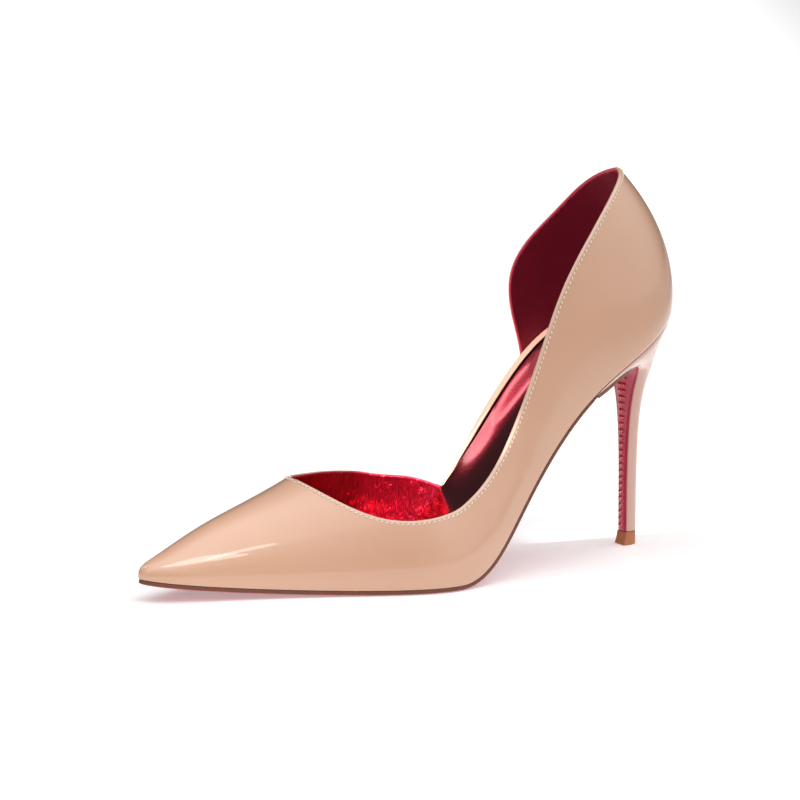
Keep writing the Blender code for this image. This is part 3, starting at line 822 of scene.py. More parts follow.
def stone_look():
    """Cut red glass, foil-backed: deep colour with small hard glints from its facets."""
    tones = colours()
    look, tree, shader, place = new_look(
        "cut_red_glass", tones["stone"], Roughness=0.12, IOR=1.6, Coat_Weight=1.0, Coat_Roughness=0.02
    )
    depth = add(tree, "TexNoise", Vector=place, Scale=per_mm(2.2), Detail=1.0)
    dark = toned(tones["stone"], 0.55)
    tone = add(tree, "MixRGB", Fac=depth, Color1=dark, Color2=tones["stone"])
    fill(tree, shader, Base_Color=tone)
    return look


def top_piece_look():
    """Moulded polyurethane heel tip: dull tan with fine specks."""
    tones = colours()
    look, tree, shader, place = new_look("moulded_heel_tip", tones["top_piece"], Roughness=0.5)
    speck = add(tree, "TexNoise", Vector=place, Scale=per_mm(0.9), Detail=3.0)
    light = toned(tones["top_piece"], 1.25)
    tone = add(tree, "MixRGB", Fac=speck, Color1=tones["top_piece"], Color2=light)
    bump = add(tree, "Bump", Strength=0.25, Distance=0.04 * MM, Height=speck)
    fill(tree, shader, Base_Color=tone, Normal=bump)
    return look


TUCK_DROP = 0.25
TUCK_RADIUS = 0.9
TUCK_STEPS = 4
MARGIN = 1.6
FOLD_STEPS = 10
FAR_FROM_RIM = 99.0


class PUMP_OT_upper(bpy.types.Operator):
    """Patent skin of the upper with its folded topline and the margin that turns under at the feather line"""

    bl_idname = "pump.upper"
    bl_label = "Upper"

    def execute(self, context):
        points, normals, away, rim = upper_grid()
        _, out, _, off = rim_frame(points, normals, rim)
        points = points + normals * crease_field(points, SKIN_CREASES)[..., None]
        down = unit(points[:, 0] - points[:, 1])
        under = np.linspace(math.pi / 2, 0, TUCK_STEPS + 1)[:-1][None, :, None]
        tuck = points[:, :1] + down[:, None] * TUCK_DROP * np.sin(under)
        tuck = tuck - normals[:, :1] * TUCK_RADIUS * (1 - np.cos(under))
        margin = tuck[:, :1] - normals[:, :1] * MARGIN
        skin = np.concatenate([margin, tuck, points], axis=1)
        angle = np.linspace(0, context.scene.pump_shapes.fold_end, FOLD_STEPS + 1)
        fold = rolled_edge(points[rim, -1], out, off, UPPER_WALL / 2, angle)
        both, faces = two_sheets(skin, fold)
        far = np.full(skin.shape[:2], FAR_FROM_RIM)
        far[:, -points.shape[1] :] = away
        marks = {"rim": np.concatenate([far.ravel(), np.zeros(fold.shape[0] * fold.shape[1])])}
        look = patent_look("nude_patent_leather", folded=True)
        upper = add_piece("upper_skin", both, faces, look, "upper", marks=marks)
        thicken(upper, shapes()["skin"])
        return {"FINISHED"}


DEEPEST_LINING_TROUGH = -0.2
LINING_FOLD_OVERLAP = math.radians(3)
LINING_FOLD_STEPS = 7
SATIN_START = 128.0
SATIN_END = 172.0


class PUMP_OT_lining(bpy.types.Operator):
    """Lining sheet inside the upper, wrinkled in the vamp, that comes up to the folded topline"""

    bl_idname = "pump.lining"
    bl_label = "Lining"

    def execute(self, context):
        points, normals, _, rim = upper_grid()
        edge, out, _, off = rim_frame(points, normals, rim)
        inside = points - normals * UPPER_WALL
        height = crease_field(inside, LINING_CREASES)
        inside = inside - normals * np.clip(height, DEEPEST_LINING_TROUGH, None)[..., None]
        start = context.scene.pump_shapes.fold_end - LINING_FOLD_OVERLAP
        angle = np.linspace(math.pi, start, LINING_FOLD_STEPS + 1)
        fold = rolled_edge(edge, out, off, UPPER_WALL / 2, angle)
        both, faces = two_sheets(inside, fold)
        folded = np.zeros(len(both))
        folded[-fold.shape[0] * fold.shape[1] :] = 1
        marks = {"back": soft_step(both[:, 0], SATIN_START, SATIN_END), "fold": folded}
        lining = add_piece("lining", both, faces[:, ::-1], lining_look(), marks=marks)
        thicken(lining, shapes()["lining"])
        return {"FINISHED"}


STITCH_SLANT = math.radians(12)
STITCH_END_ROOM = 4.0
STITCH_RINGS = 7
STITCH_SIDES = 8
STITCH_TIP = 0.02
STITCH_RISE = 0.4
STITCH_SINK = 0.6


class PUMP_OT_stitches(bpy.types.Operator):
    """One row of stitches along the topline, each a short thread bowed over the skin and sunk at both ends"""

    bl_idname = "pump.stitches"
    bl_label = "Stitches"

    def execute(self, context):
        size = shapes()
        points, normals, _, rim = upper_grid()
        edge, out, forward, off = rim_frame(points, normals, rim)
        line = edge - off * size["stitch_inset"]
        run = walked(line)
        centres = np.arange(STITCH_END_ROOM, run[-1] - STITCH_END_ROOM, size["stitch_pitch"])
        middle = resampled(line, centres)
        lift = unit(np.stack([np.interp(centres, run, out[:, k]) for k in range(3)], -1))
        tangent = unit(np.stack([np.interp(centres, run, forward[:, k]) for k in range(3)], -1))
        beside = np.cross(lift, tangent)
        along = np.linspace(-1, 1, STITCH_RINGS)[:, None]
        around = np.linspace(0, 2 * math.pi, STITCH_SIDES + 1)[:-1][None]
        plump = np.sqrt(np.clip(1 - along**4, STITCH_TIP, 1)) * size["thread"] / 2
        ahead = along * size["stitch_length"] / 2 + 0 * around
        aside = plump * np.cos(around) + math.tan(STITCH_SLANT) * ahead
        raised = plump * np.sin(around) + size["thread"] * (STITCH_RISE - STITCH_SINK * along**2)
        beads = middle[:, None, None] + tangent[:, None, None] * ahead[..., None]
        beads = beads + beside[:, None, None] * aside[..., None] + lift[:, None, None] * raised[..., None]
        rows, ring = ahead.shape
        one = loop_faces(rows, ring)
        # Three faces close an end of eight sides
        ends = np.array([[0, 1, 2, 3], [0, 3, 4, 7], [4, 5, 6, 7]])
        one = np.concatenate([one, ends, ends[:, ::-1] + (rows - 1) * ring])
        faces = (one[None] + (np.arange(len(middle)) * rows * ring)[:, None, None]).reshape(-1, 4)
        add_piece("topline_stitches", beads, faces, thread_look(), closed=True)
        return {"FINISHED"}


def insole_inset(x, side):
    """Inset of the insole's edge: clear of the upper, more so at the toe, with room for the inner binding."""
    inset = INSOLE_INSET + INSOLE_TOE_INSET * (1 - soft_step(x, 0, INSOLE_TOE_FADE))
    rise = soft_step(x, BINDING_FRONT - BINDING_FADE, BINDING_FRONT)
    fall = soft_step(x, BINDING_BACK, BINDING_BACK + BINDING_FADE)
    return inset + (BINDING_ROOM * rise * (1 - fall) if side > 0 else 0.0)


def across_bottom(turn, insets, lane):
    """Places across the bottom of the last between its two inset edges, at stations by lanes from -1 to 1."""
    outer_x, outer_y = inset_outline(turn, -1, insets(place_of(turn), -1))
    inner_x, inner_y = inset_outline(turn, 1, insets(place_of(turn), 1))
    x = outer_x[:, None] * (1 - lane) / 2 + inner_x[:, None] * (1 + lane) / 2
    return x, np.where(lane < 0, -lane * outer_y[:, None], lane * inner_y[:, None])


def lifted(x, y, lift):
    """Points over the bottom of the last, moved along its normal by a lift that may differ at each point."""
    return np.stack([x, y, bottom_height(x, y)], -1) + bottom_normal(x, y) * np.asarray(lift)[..., None]


INSOLE_STATIONS = 221
INSOLE_LANES = 41
INSOLE_CUP = 0.315
INSOLE_CUP_START = 120.0
INSOLE_CUP_FULL = 175.0
INSOLE_DIP = 0.0875
INSOLE_FADE_FRONT = 0.2
INSOLE_FADE_BACK = 0.85
INSOLE_ROUND_START = 0.93
INSOLE_ROUND = 0.25


class PUMP_OT_insole(bpy.types.Operator):
    """Insole with its foil sock: a slab that dips a little in its middle and is rounded off at its edge"""

    bl_idname = "pump.insole"
    bl_label = "Insole"

    def execute(self, context):
        turn = np.linspace(turn_of(INSOLE_TOE), 1.0, INSOLE_STATIONS)
        lane = np.sin(np.linspace(-math.pi / 2, math.pi / 2, INSOLE_LANES))[None]
        x, y = across_bottom(turn, insole_inset, lane)
        grown = soft_step(turn, turn[0], turn[0] + INSOLE_FADE_FRONT)
        shaped = (grown * (1 - soft_step(turn, INSOLE_FADE_BACK, 1.0)))[:, None]
        cup = INSOLE_CUP * lane**4 * soft_step(x, INSOLE_CUP_START, INSOLE_CUP_FULL)
        dip = INSOLE_DIP * (1 - lane**2)
        past = np.clip(np.abs(lane) - INSOLE_ROUND_START, 0, None) / (1 - INSOLE_ROUND_START)
        top = lifted(x, y, INSOLE_THICK + shaped * (cup - dip) - INSOLE_ROUND * past)
        low = lifted(x, y, np.zeros_like(x))
        loop = np.concatenate([top, low[:, ::-1]], axis=1)
        stations, ring = loop.shape[:2]
        over = np.arange(INSOLE_LANES)
        below = ring - 1 - over
        first = np.stack([over[:-1], over[1:], below[1:], below[:-1]], -1)
        faces = np.concatenate([loop_faces(stations, ring), first, first[:, ::-1] + (stations - 1) * ring])
        add_piece("insole_sock", loop, faces, sock_look(), "insole", closed=True)
        return {"FINISHED"}


class PUMP_OT_binding(bpy.types.Operator):
    """Patent strip folded over the inner edge of the insole: a rounded angle carried along that edge"""

    bl_idname = "pump.binding"
    bl_label = "Waist binding"

    def execute(self, context):
        thick = BINDING_THICK
        turn = np.linspace(turn_of(BINDING_FRONT), turn_of(BINDING_BACK), BINDING_STATIONS)
        x, y = inset_outline(turn, 1, insole_inset(place_of(turn), 1))
        edge = np.stack([x, y, bottom_height(x, y)], -1)
        up = bottom_normal(x, y)
        out = np.cross(up, unit(np.gradient(edge, axis=0)))
        under = INSOLE_THICK + GAP
        corner = np.linspace(0, math.pi / 2, BINDING_CORNER)
        lip = np.linspace(math.pi / 2, 1.5 * math.pi, BINDING_LIP)
        corner_out, lip_out = thick * np.cos(corner), thick / 2 * np.cos(lip)
        corner_up, lip_up = thick * np.sin(corner), thick / 2 * (1 + np.sin(lip))
        flat = GAP + np.concatenate([[thick], corner_out, lip_out, [0.0, 0.0]])
        high = np.concatenate([[0.0], under + corner_up, under + lip_up, [under, 0.0]])
        widened = soft_step(x, BINDING_FRONT, BINDING_LAP_FULL)
        lap = BINDING_LAP_FRONT + (BINDING_LAP - BINDING_LAP_FRONT) * widened
        lapped = np.concatenate([np.zeros(len(corner) + 1), np.ones(len(lip)), np.zeros(2)])
        away = flat - lap[:, None] * lapped
        sunk = BINDING_SINK * (1 - soft_step(x, BINDING_FRONT, BINDING_SINK_END))
        rise = high - sunk[:, None] * (high > under / 2)
        loops = edge[:, None] + out[:, None] * away[..., None] + up[:, None] * rise[..., None]
        # The binding's lighter tone is painted light that makes up for its shade
        look = patent_look("nude_patent_binding", "binding")
        faces = tube_faces(*loops.shape[:2])
        add_piece(
            "waist_binding_strip",
            loops,
            faces,
            look,
            "waist_binding",
            closed=True,
            crisp=50,
        )
        return {"FINISHED"}


SOLE_TOP = -GAP
SOLE_BOTTOM = -FEATHER_AT_BALL
SOLE_INSET = 0.3
SOLE_LANES = 28
SOLE_END = 193.6
SOLE_TUCK_START = 176.0
SOLE_TUCK_END = 186.0
SOLE_TUCK = 1.8
SOLE_STATIONS = 261
BEVEL_TURN = 0.45
BEVEL_DROP = 0.42


class PUMP_OT_sole(bpy.types.Operator):
    """Outsole: a flat bottom with an upright edge and a bevel under it, carried along the last"""

    bl_idname = "pump.sole"
    bl_label = "Outsole"

    def execute(self, context):
        size = shapes()
        turn = np.linspace(0.0, turn_of(SOLE_END), SOLE_STATIONS)
        tuck = SOLE_TUCK * soft_step(place_of(turn), SOLE_TUCK_START, SOLE_TUCK_END)
        low, bevel = SOLE_TOP - size["sole_edge"], size["sole_bevel"]
        # Inset, lift and share of the brown edge, from the top of the edge to the inside of the bevel
        ring = (
            (0.0, SOLE_TOP, 1.0),
            (0.0, low, 0.52),
            (bevel * BEVEL_TURN, low - BEVEL_DROP, 0.25),
            (bevel, SOLE_BOTTOM, 0.0),
        )
        flat = [[inset_outline(turn, side, SOLE_INSET + tuck + row[0]) for row in ring] for side in (-1, 1)]
        sides = []
        for rows in flat:
            lines = [lifted(*plan, np.full(turn.shape, row[1])) for plan, row in zip(rows, ring)]
            sides.append(np.stack(lines, 1))
        lane = np.linspace(0, 1, SOLE_LANES + 1)[1:-1]
        sheets = []
        for k in (-1, 0):
            outer, inner = (np.stack(rows[k])[..., None] for rows in flat)
            x, y = outer * (1 - lane) + inner * lane
            sheets.append(lifted(x, y, np.full_like(x, ring[k][1])))
        bottom, top = sheets[0], sheets[1][:, ::-1]
        loops = np.concatenate([sides[0], bottom, sides[1][:, ::-1], top], axis=1)
        rim = [row[2] for row in ring]
        marks = np.concatenate([rim, np.zeros(len(lane)), rim[::-1], np.ones(len(lane))])
        marks = {"edge": np.broadcast_to(marks, loops.shape[:2])}
        faces = tube_faces(*loops.shape[:2])
        look = sole_look()
        add_piece("outsole_leather", loops, faces, look, "outsole", marks, closed=True, crisp=35)
        return {"FINISHED"}


# Edge of the heel cover on the outer side, from the wing's tip to the heel's tip: x, half width and z
BREAST_EDGE = (
    (180.0, 27.2, 65.3),
    (184.5, 26.4, 67.4),
    (189.0, 25.0, 69.5),
    (194.0, 22.8, 71.2),
    (199.0, 20.0, 72.2),
    (204.0, 16.6, 72.5),
    (207.6, 13.6, 71.4),
    (209.2, 11.0, 68.8),
    (209.7, 8.6, 64.6),
    (209.8, 6.4, 58.5),
    (209.8, 4.8, 50.5),
    (209.8, 3.9, 41.0),
    (209.8, 3.4, 30.0),
    (209.8, 3.3, 17.0),
    (209.8, 3.3, 5.6),
)
WING_END = 28.5
# How far the back of the heel has dropped when its edge has run so far
HEEL_PACE = ((0.0, 0.0), (14.0, 9.5), (28.5, 20.0), (40.0, 30.0), (60.0, 49.0), (80.0, 67.5))
BACK_RIM = 3.0
BACK_FADE = 14.0
SEAT_BACK = 227.6
HEEL_RINGS = 90
HEEL_LANES = 44
LIP_RADIUS = 0.45
SEAT_SHAPE_FADE = 20.0
EDGE_STEPS = 600
CURL_FADE_AHEAD = 6.0
CURL_FADE_PAST = 16.0
EVEN_START = 200.0
EVEN_END = 208.0
SEAT_FINENESS = 4
LIP_TURN = math.radians(200)
LIP_STEPS = 11


def breast_edge(steps):
    """Points of the heel cover's outer edge at given distances along it, with y as a half width."""
    table = np.array(BREAST_EDGE)
    run = walked(table)
    fine = np.linspace(0, run[-1], EDGE_STEPS)
    smooth = np.stack([spline(run, table[:, k], fine) for k in range(3)], -1)
    return resampled(smooth, np.asarray(steps) / run[-1] * walked(smooth)[-1])


def edge_length():
    """Length of the heel cover's edge as its table gives it."""
    return walked(np.array(BREAST_EDGE))[-1]


def inner_edge(edge, steps):
    """The heel cover's inner edge: the outer one at the inner side's width, raised with the bottom's curl."""
    raised = bottom_height(edge[:, 0], section("inner", edge[:, 0])) - feather_height(edge[:, 0])
    made = edge.copy()
    made[:, 1] *= inner_share(edge[:, 0])
    made[:, 2] += raised * (1 - soft_step(steps, WING_END - CURL_FADE_AHEAD, WING_END + CURL_FADE_PAST))
    return made


def inner_share(x):
    """Width of the inner side of the seat against the outer side, fading to even at the stem."""
    ratio = section("inner", x) / np.maximum(section("outer", x), SHORTEST)
    return 1 + (ratio - 1) * (1 - soft_step(x, EVEN_START, EVEN_END))


def heel_side(side):
    """One side of the heel cover as rings from its edge round to the middle of the back.

    Each ring keeps its own front point on the edge and its own back point on the back line. Between them it
    blends the normalised outline of the seat into that of the stem, by how far the back has dropped.
    """
    total = edge_length()
    steps = np.linspace(0, total, HEEL_RINGS + 1)
    front = breast_edge(steps)
    front = front if side < 0 else inner_edge(front, steps)
    pace = np.array(HEEL_PACE + ((total, feather_height(SEAT_BACK) - GAP - TOP_PIECE_HEIGHT - GAP),))
    drop = spline(pace[:, 0], pace[:, 1], steps)
    spread = np.exp(-(drop**2 / (drop + BACK_RIM)) / BACK_FADE)
    spread = (spread - spread[-1]) / (1 - spread[-1])
    back_x = STEM_X + STEM_BACK + (SEAT_BACK - STEM_X - STEM_BACK) * spread
    back_z = feather_height(SEAT_BACK) - GAP - drop
    fine = np.linspace(turn_of(front[0, 0]), 1, SEAT_FINENESS * HEEL_LANES + 1)
    seat_x, seat_y = (v[::SEAT_FINENESS] for v in inset_outline(fine, side, SEAT_INSET))
    seat_y[-1] = 0.0
    seat_z = bottom_height(seat_x, seat_y) - GAP
    ahead = (seat_x - seat_x[0]) / (seat_x[-1] - seat_x[0])
    wide = seat_y / seat_y[0]
    high = (seat_z - seat_z[0]) / (seat_z[-1] - seat_z[0])
    angle = np.linspace(0, math.pi / 2, HEEL_LANES + 1)
    stem_ahead = np.sin(angle) ** STEM_SQUARENESS
    stem_wide = np.cos(angle) ** STEM_SQUARENESS
    keep = np.exp(-((drop / SEAT_SHAPE_FADE) ** 2))[:, None]
    ahead = keep * ahead + (1 - keep) * stem_ahead
    wide = keep * wide + (1 - keep) * stem_wide
    high = keep * high + (1 - keep) * stem_ahead
    x = front[:, :1] + ahead * (back_x[:, None] - front[:, :1])
    y = side * front[:, 1:2] * wide
    z = front[:, 2:] + high * (back_z[:, None] - front[:, 2:])
    return np.stack([x, y, z], -1)


def with_lip(rings, side):
    """The side of the heel with a small roll in front of its edge, turned in behind the breast panel."""
    edge = rings[:, 0]
    off = unit(rings[:, 0] - rings[:, 1])
    run = unit(np.gradient(edge, axis=0))
    out = unit(np.cross(run, off)) * -side
    out *= np.sign(np.sum(out * (0, side, 0), axis=1, keepdims=True).mean())
    lip = rolled_edge(edge, out, off, LIP_RADIUS, np.linspace(LIP_TURN, 0, LIP_STEPS + 1)[:-1])
    return np.concatenate([lip, rings], axis=1)


SEAT_LANES = 24
SEAT_GAP = 0.5


def under_seat(points):
    """Points of the heel kept under the bottom of the last."""
    x, y, z = np.moveaxis(points, -1, 0)
    return np.stack([x, y, np.minimum(z, bottom_height(x, y) - SEAT_GAP)], -1)


class PUMP_OT_heel(bpy.types.Operator):
    """Covered heel: a seat that narrows in a trumpet to the stem, with a rolled edge round its breast"""

    bl_idname = "pump.heel"
    bl_label = "Heel"

    def execute(self, context):
        outer, inner = with_lip(heel_side(-1), -1), with_lip(heel_side(1), 1)
        share = np.linspace(0, 1, SEAT_LANES + 1)[1:-1, None]
        breast = under_seat(inner[:, :1] * (1 - share) + outer[:, :1] * share)
        loops = np.concatenate([outer, inner[:, ::-1], breast], axis=1)
        stations, ring = loops.shape[:2]
        half = outer.shape[1]
        i = np.arange(half)
        seat = under_seat(outer[0][:, None] * (1 - share) + inner[0][:, None] * share)
        between = stations * ring + np.arange(half * len(share)).reshape(half, -1)
        top = np.concatenate([i[:, None], between, 2 * half - 1 - i[:, None]], axis=1)
        cap = np.stack([top[:-1, :-1], top[1:, :-1], top[1:, 1:], top[:-1, 1:]], -1).reshape(-1, 4)
        foot = list(range(stations * ring - 1, (stations - 1) * ring - 1, -1))
        faces = [*loop_faces(stations, ring).tolist(), *cap.tolist(), foot]
        both = np.concatenate([loops.reshape(-1, 3), seat.reshape(-1, 3)])
        look = patent_look("nude_patent_heel_cover", "heel")
        add_piece("heel_cover", both, faces, look, "heel", closed=True, crisp=70)
        return {"FINISHED"}


PANEL_THICK = 1.1
PANEL_SIDE = 0.3
PANEL_SIDE_GAP = 0.4
PANEL_STRIP = 1.1
PANEL_RINGS = 150
WING_THICK = 1.5
WING_SIDE_GAP = 0.1
PANEL_GAP = GAP * 0.3
PANEL_START = 0.4
PANEL_LANES = 33
PANEL_BRIM = 0.999
WING_FADE_AHEAD = 4.0
WING_FADE_PAST = 3.0


def wing_share(steps):
    """Share of the panel's wing left at distances along its edge, from 1 at the tip to 0 on the stem."""
    return 1 - soft_step(steps, WING_END - WING_FADE_AHEAD, WING_END + WING_FADE_PAST)


def panel_height(steps, lane):
    """Height of the panel over the breast: a low arch across the stem, level and thicker on the wing."""
    arch = PANEL_SIDE + (PANEL_THICK - PANEL_SIDE) * (1 - lane**2)
    wing = wing_share(steps)
    return PANEL_GAP + wing * WING_THICK + (1 - wing) * arch


def panel_frame(steps):
    """Middle line, half widths and forward direction of the breast panel at distances along its edge."""
    outer = breast_edge(steps)
    inner = inner_edge(outer, steps)
    outer[:, 1] *= -1
    middle = (outer + inner) / 2
    across = (inner - outer) / 2
    width = np.linalg.norm(across, axis=1, keepdims=True)
    gap = PANEL_SIDE_GAP + (WING_SIDE_GAP - PANEL_SIDE_GAP) * wing_share(steps)[:, None]
    half = across * (width - gap) / width
    down = unit(np.gradient(middle, axis=0))
    forward = unit(np.cross(down, half))
    forward *= np.sign(-forward[-1, 0])
    return middle, half, forward


class PUMP_OT_panel(bpy.types.Operator):
    """Breast panel: a thin strip down the front of the heel, flared with it at the top"""

    bl_idname = "pump.panel"
    bl_label = "Breast panel"

    def execute(self, context):
        steps = np.linspace(PANEL_START, edge_length(), PANEL_RINGS + 1)
        middle, half, forward = panel_frame(steps)
        lane = np.concatenate([[-1], np.linspace(-1, 1, PANEL_LANES), [1]])
        high = panel_height(steps[:, None], lane[None])
        high[:, [0, -1]] = PANEL_GAP
        front = middle[:, None] + half[:, None] * lane[None, :, None] + forward[:, None] * high[..., None]
        away = np.linalg.norm(half, axis=1, keepdims=True) * (1 - np.abs(lane))[None]
        border = np.clip(1 - away / (2 * PANEL_STRIP), 0, 1)
        wing = wing_share(steps)[:, None]
        edge = wing * (np.abs(lane) > PANEL_BRIM)[None]
        plain = np.broadcast_to(wing, border.shape)
        faces = tube_faces(*front.shape[:2])
        marks = {"border": np.maximum(border, plain), "edge": edge}
        look = panel_look()
        add_piece("breast_leather", front, faces, look, "breast_panel", marks, closed=True, crisp=40)
        return {"FINISHED"}


STONE_SPREAD = 0.37
LARGE_STONE = 1
LARGE_STONE_SIZE = 1.4
STONE_TOP_ROOM = 1.5
STONE_FOOT_ROOM = 1.0
STONE_SIDES = 8
STONE_FRAME_STEPS = 400
# Half width and height of a stone's levels against its radius, from its sunk foot to its table
STONE_LEVELS = ((1.0, -0.3), (1.0, 0.15), (0.8, 0.55), (0.42, 0.85))


class PUMP_OT_stones(bpy.types.Operator):
    """Cut stones in rows across the breast panel, more of them side by side where it flares"""

    bl_idname = "pump.stones"
    bl_label = "Stones"

    def execute(self, context):
        size = shapes()
        radius, pitch = size["stone"] / 2, size["stone_pitch"]
        steps = np.arange(WING_END + STONE_TOP_ROOM, edge_length() - STONE_FOOT_ROOM, pitch)
        fine = np.linspace(PANEL_START, edge_length(), STONE_FRAME_STEPS)
        frames = panel_frame(fine)
        middle, half, forward = (np.stack([np.interp(steps, fine, v) for v in part.T], -1) for part in frames)
        down = unit(np.gradient(middle, axis=0))
        width = np.linalg.norm(half, axis=1)
        angle = np.linspace(0, 2 * math.pi, STONE_SIDES + 1)[:-1] + math.pi / STONE_SIDES
        round_plan = np.stack([np.cos(angle), np.sin(angle), np.zeros(STONE_SIDES)], -1)
        cut = np.concatenate([round_plan * r + (0, 0, h) for r, h in STONE_LEVELS])
        one = loop_faces(len(STONE_LEVELS), STONE_SIDES).tolist()
        one += [list(range(len(cut) - STONE_SIDES, len(cut))), list(range(STONE_SIDES - 1, -1, -1))]
        seats = []
        for k in range(len(steps)):
            abreast = max(2, int((2 * width[k] - 2 * PANEL_STRIP) / pitch))
            spread = min(pitch, STONE_SPREAD * 2 * width[k] / abreast)
            seats += [(k, place) for place in (np.arange(abreast) - (abreast - 1) / 2) * spread]
        rows = np.array([seat[0] for seat in seats])
        aside = np.array([seat[1] for seat in seats])
        lane = aside / width[rows]
        tilt = 2 * (PANEL_THICK - PANEL_SIDE) * lane / width[rows]
        across = unit(half)[rows]
        axis = unit(forward[rows] + across * tilt[:, None])
        beside = unit(across - axis * np.sum(across * axis, axis=1, keepdims=True))
        height = panel_height(steps[rows], lane)[:, None]
        centre = middle[rows] + across * aside[:, None] + forward[rows] * height
        big = np.where(np.arange(len(seats)) == LARGE_STONE, LARGE_STONE_SIZE, 1.0)[:, None, None]
        turned = np.stack([beside, down[rows], axis], 1)
        stones = centre[:, None] + radius * big * np.einsum("pk,nkj->npj", cut, turned)
        faces = [[i + len(cut) * n for i in face] for n in range(len(seats)) for face in one]
        add_piece("breast_stones", stones, faces, stone_look(), closed=True, crisp=5)
        return {"FINISHED"}


TOP_PIECE_REACH = 0.6
TOP_PIECE_FLARE = 1.2
TOP_PIECE_CURVE = 1.4
TOP_PIECE_CORNERS = 17
# Share of the height and inset of the rings, rounded at both rims
TOP_PIECE_RINGS = (
    (0.0, 0.25),
    (0.02, 0.08),
    (0.06, 0.0),
    (0.35, 0.0),
    (0.65, 0.0),
    (0.94, 0.0),
    (0.98, 0.08),
    (1.0, 0.25),
)


class PUMP_OT_top_piece(bpy.types.Operator):
    """Tip of the heel: a D-shaped block whose front edge flares forward at the floor, with rounded rims"""

    bl_idname = "pump.top_piece"
    bl_label = "Top piece"

    def execute(self, context):
        angle = np.linspace(0, math.pi / 2, TOP_PIECE_CORNERS)
        x = STEM_X - STEM_FRONT + (STEM_FRONT + STEM_BACK) * np.sin(angle) ** STEM_SQUARENESS
        y = STEM_HALF_WIDTH * np.cos(angle) ** STEM_SQUARENESS
        plan = np.concatenate([np.stack([x, -y], -1), np.stack([x, y], -1)[-2::-1]])
        ahead = (STEM_X + STEM_BACK - plan[:, 0]) / (STEM_FRONT + STEM_BACK)
        loops = []
        for share, inset in TOP_PIECE_RINGS:
            reach = TOP_PIECE_REACH + TOP_PIECE_FLARE * (1 - share) ** TOP_PIECE_CURVE
            ring = plan.copy()
            ring[:, 0] -= ahead * reach
            centre = np.array([ring[:, 0].mean(), 0.0])
            ring = centre + (ring - centre) * (1 - inset / STEM_HALF_WIDTH)
            loops.append(np.concatenate([ring, np.full((len(ring), 1), share * TOP_PIECE_HEIGHT)], 1))
        loops = np.array(loops)
        faces = tube_faces(*loops.shape[:2])
        add_piece("heel_tip", loops, faces, top_piece_look(), "top_piece", closed=True, crisp=60)
        return {"FINISHED"}


# Middle of the shoe, and how far right and up of it the camera points, in millimetres
TARGET = (114.0, 0.0, 70.0)
AIM_RIGHT = -3.56
AIM_UP = -4.69
# Reach of the camera and of the floor and the stretch over which the floor's gloss fades, in metres
CLIP_END = 100.0
FLOOR_REACH = 14.0
FLOOR_GLOSS_FADE = (0.12, 0.4)
FLOOR_GLOSS = 0.35
FLOOR_TONE = (*to_linear("#F6F5F5"), 1.0)
FLAG_TONE = (*to_linear("#A0A0A0"), 1.0)
# The studio brightens with this power of the height, and dims from front to back over this stretch of y
DOME_POWER = 2.5
BACK_STRETCH = (-0.1, 0.5)
BACK_DIM = 0.3
# A wide soft fill from the heel's side, which fades in from the first angle off its middle to the second
FILL_AZIMUTH = 55.0
FILL_ELEVATION = 32.0
FILL_SPREAD = (60.0, 8.0)
FILL_GLOW = 0.85
# The board's own glow: painted light that lifts the shadow under the shoe
FLOOR_GLOW = 0.3
# Distances in metres over which the floor darkens outside the picture, to the right and in front
FLAG_RIGHT = (0.26, 0.5)
FLAG_FRONT = (0.34, 0.46)
# Narrow spots; angles in degrees, distance in metres, power in watts
SNOOT_COLUMNS = ("name", "aim", "azimuth", "elevation", "distance", "cone", "power")
SNOOTS = (
    ("lining_snoot", (134.0, 28.0, 22.0), -15.0, 42.0, 1.5, 2.2, 300.0),
    ("binding_snoot", (166.0, 24.0, 62.0), -100.0, 35.0, 1.5, 3.6, 100.0),
)
SNOOT_BLEND = 0.6
AIMS = {"shoe": TARGET, "toe": (22.0, -10.0, 17.0)}
# Soft boxes; angles in degrees, sizes in metres, power in watts
LIGHT_COLUMNS = ("name", "shape", "aim", "azimuth", "elevation", "roll", "distance", "wide", "tall", "power")
LIGHTS = (
    ("key_overhead", "RECTANGLE", "shoe", -40.0, 66.0, 0.0, 1.8, 1.8, 1.8, 5.0),
    ("sock_window_high", "ELLIPSE", "shoe", -127.5, 51.0, -13.0, 1.4, 0.1, 0.62, 1.2),
    ("sock_window_low", "ELLIPSE", "shoe", -140.0, 34.0, -46.0, 1.4, 0.09, 0.5, 0.8),
    ("toe_window", "ELLIPSE", "shoe", -10.5, 38.5, -20.0, 1.6, 0.16, 0.12, 0.26),
    ("toe_stick", "ELLIPSE", "toe", -20.0, 48.0, -38.0, 0.1, 0.09, 0.018, 0.022),
    ("toe_strip", "RECTANGLE", "shoe", -75.0, 25.0, 0.0, 1.4, 0.3, 1.2, 1.5),
)


def direction(azimuth, elevation):
    """Unit vector from the shoe; azimuth 0 looks from the outer side, plus turns towards the heel."""
    level = math.cos(elevation)
    return Vector((math.sin(azimuth) * level, -math.cos(azimuth) * level, math.sin(elevation)))


def hang(lamp, facts, aim):
    """Hang a lamp at its distance from what it lights, facing it and rolled about its own axis."""
    holder = bpy.data.objects.new(lamp.name, lamp)
    towards = direction(math.radians(facts["azimuth"]), math.radians(facts["elevation"]))
    holder.location = Vector(placed(np.array([aim]))[0]) + towards * facts["distance"]
    turned = Quaternion((0, 0, 1), math.radians(facts.get("roll", 0.0)))
    holder.rotation_euler = (towards.to_track_quat("Z", "Y") @ turned).to_euler()
    bpy.context.scene.collection.objects.link(holder)


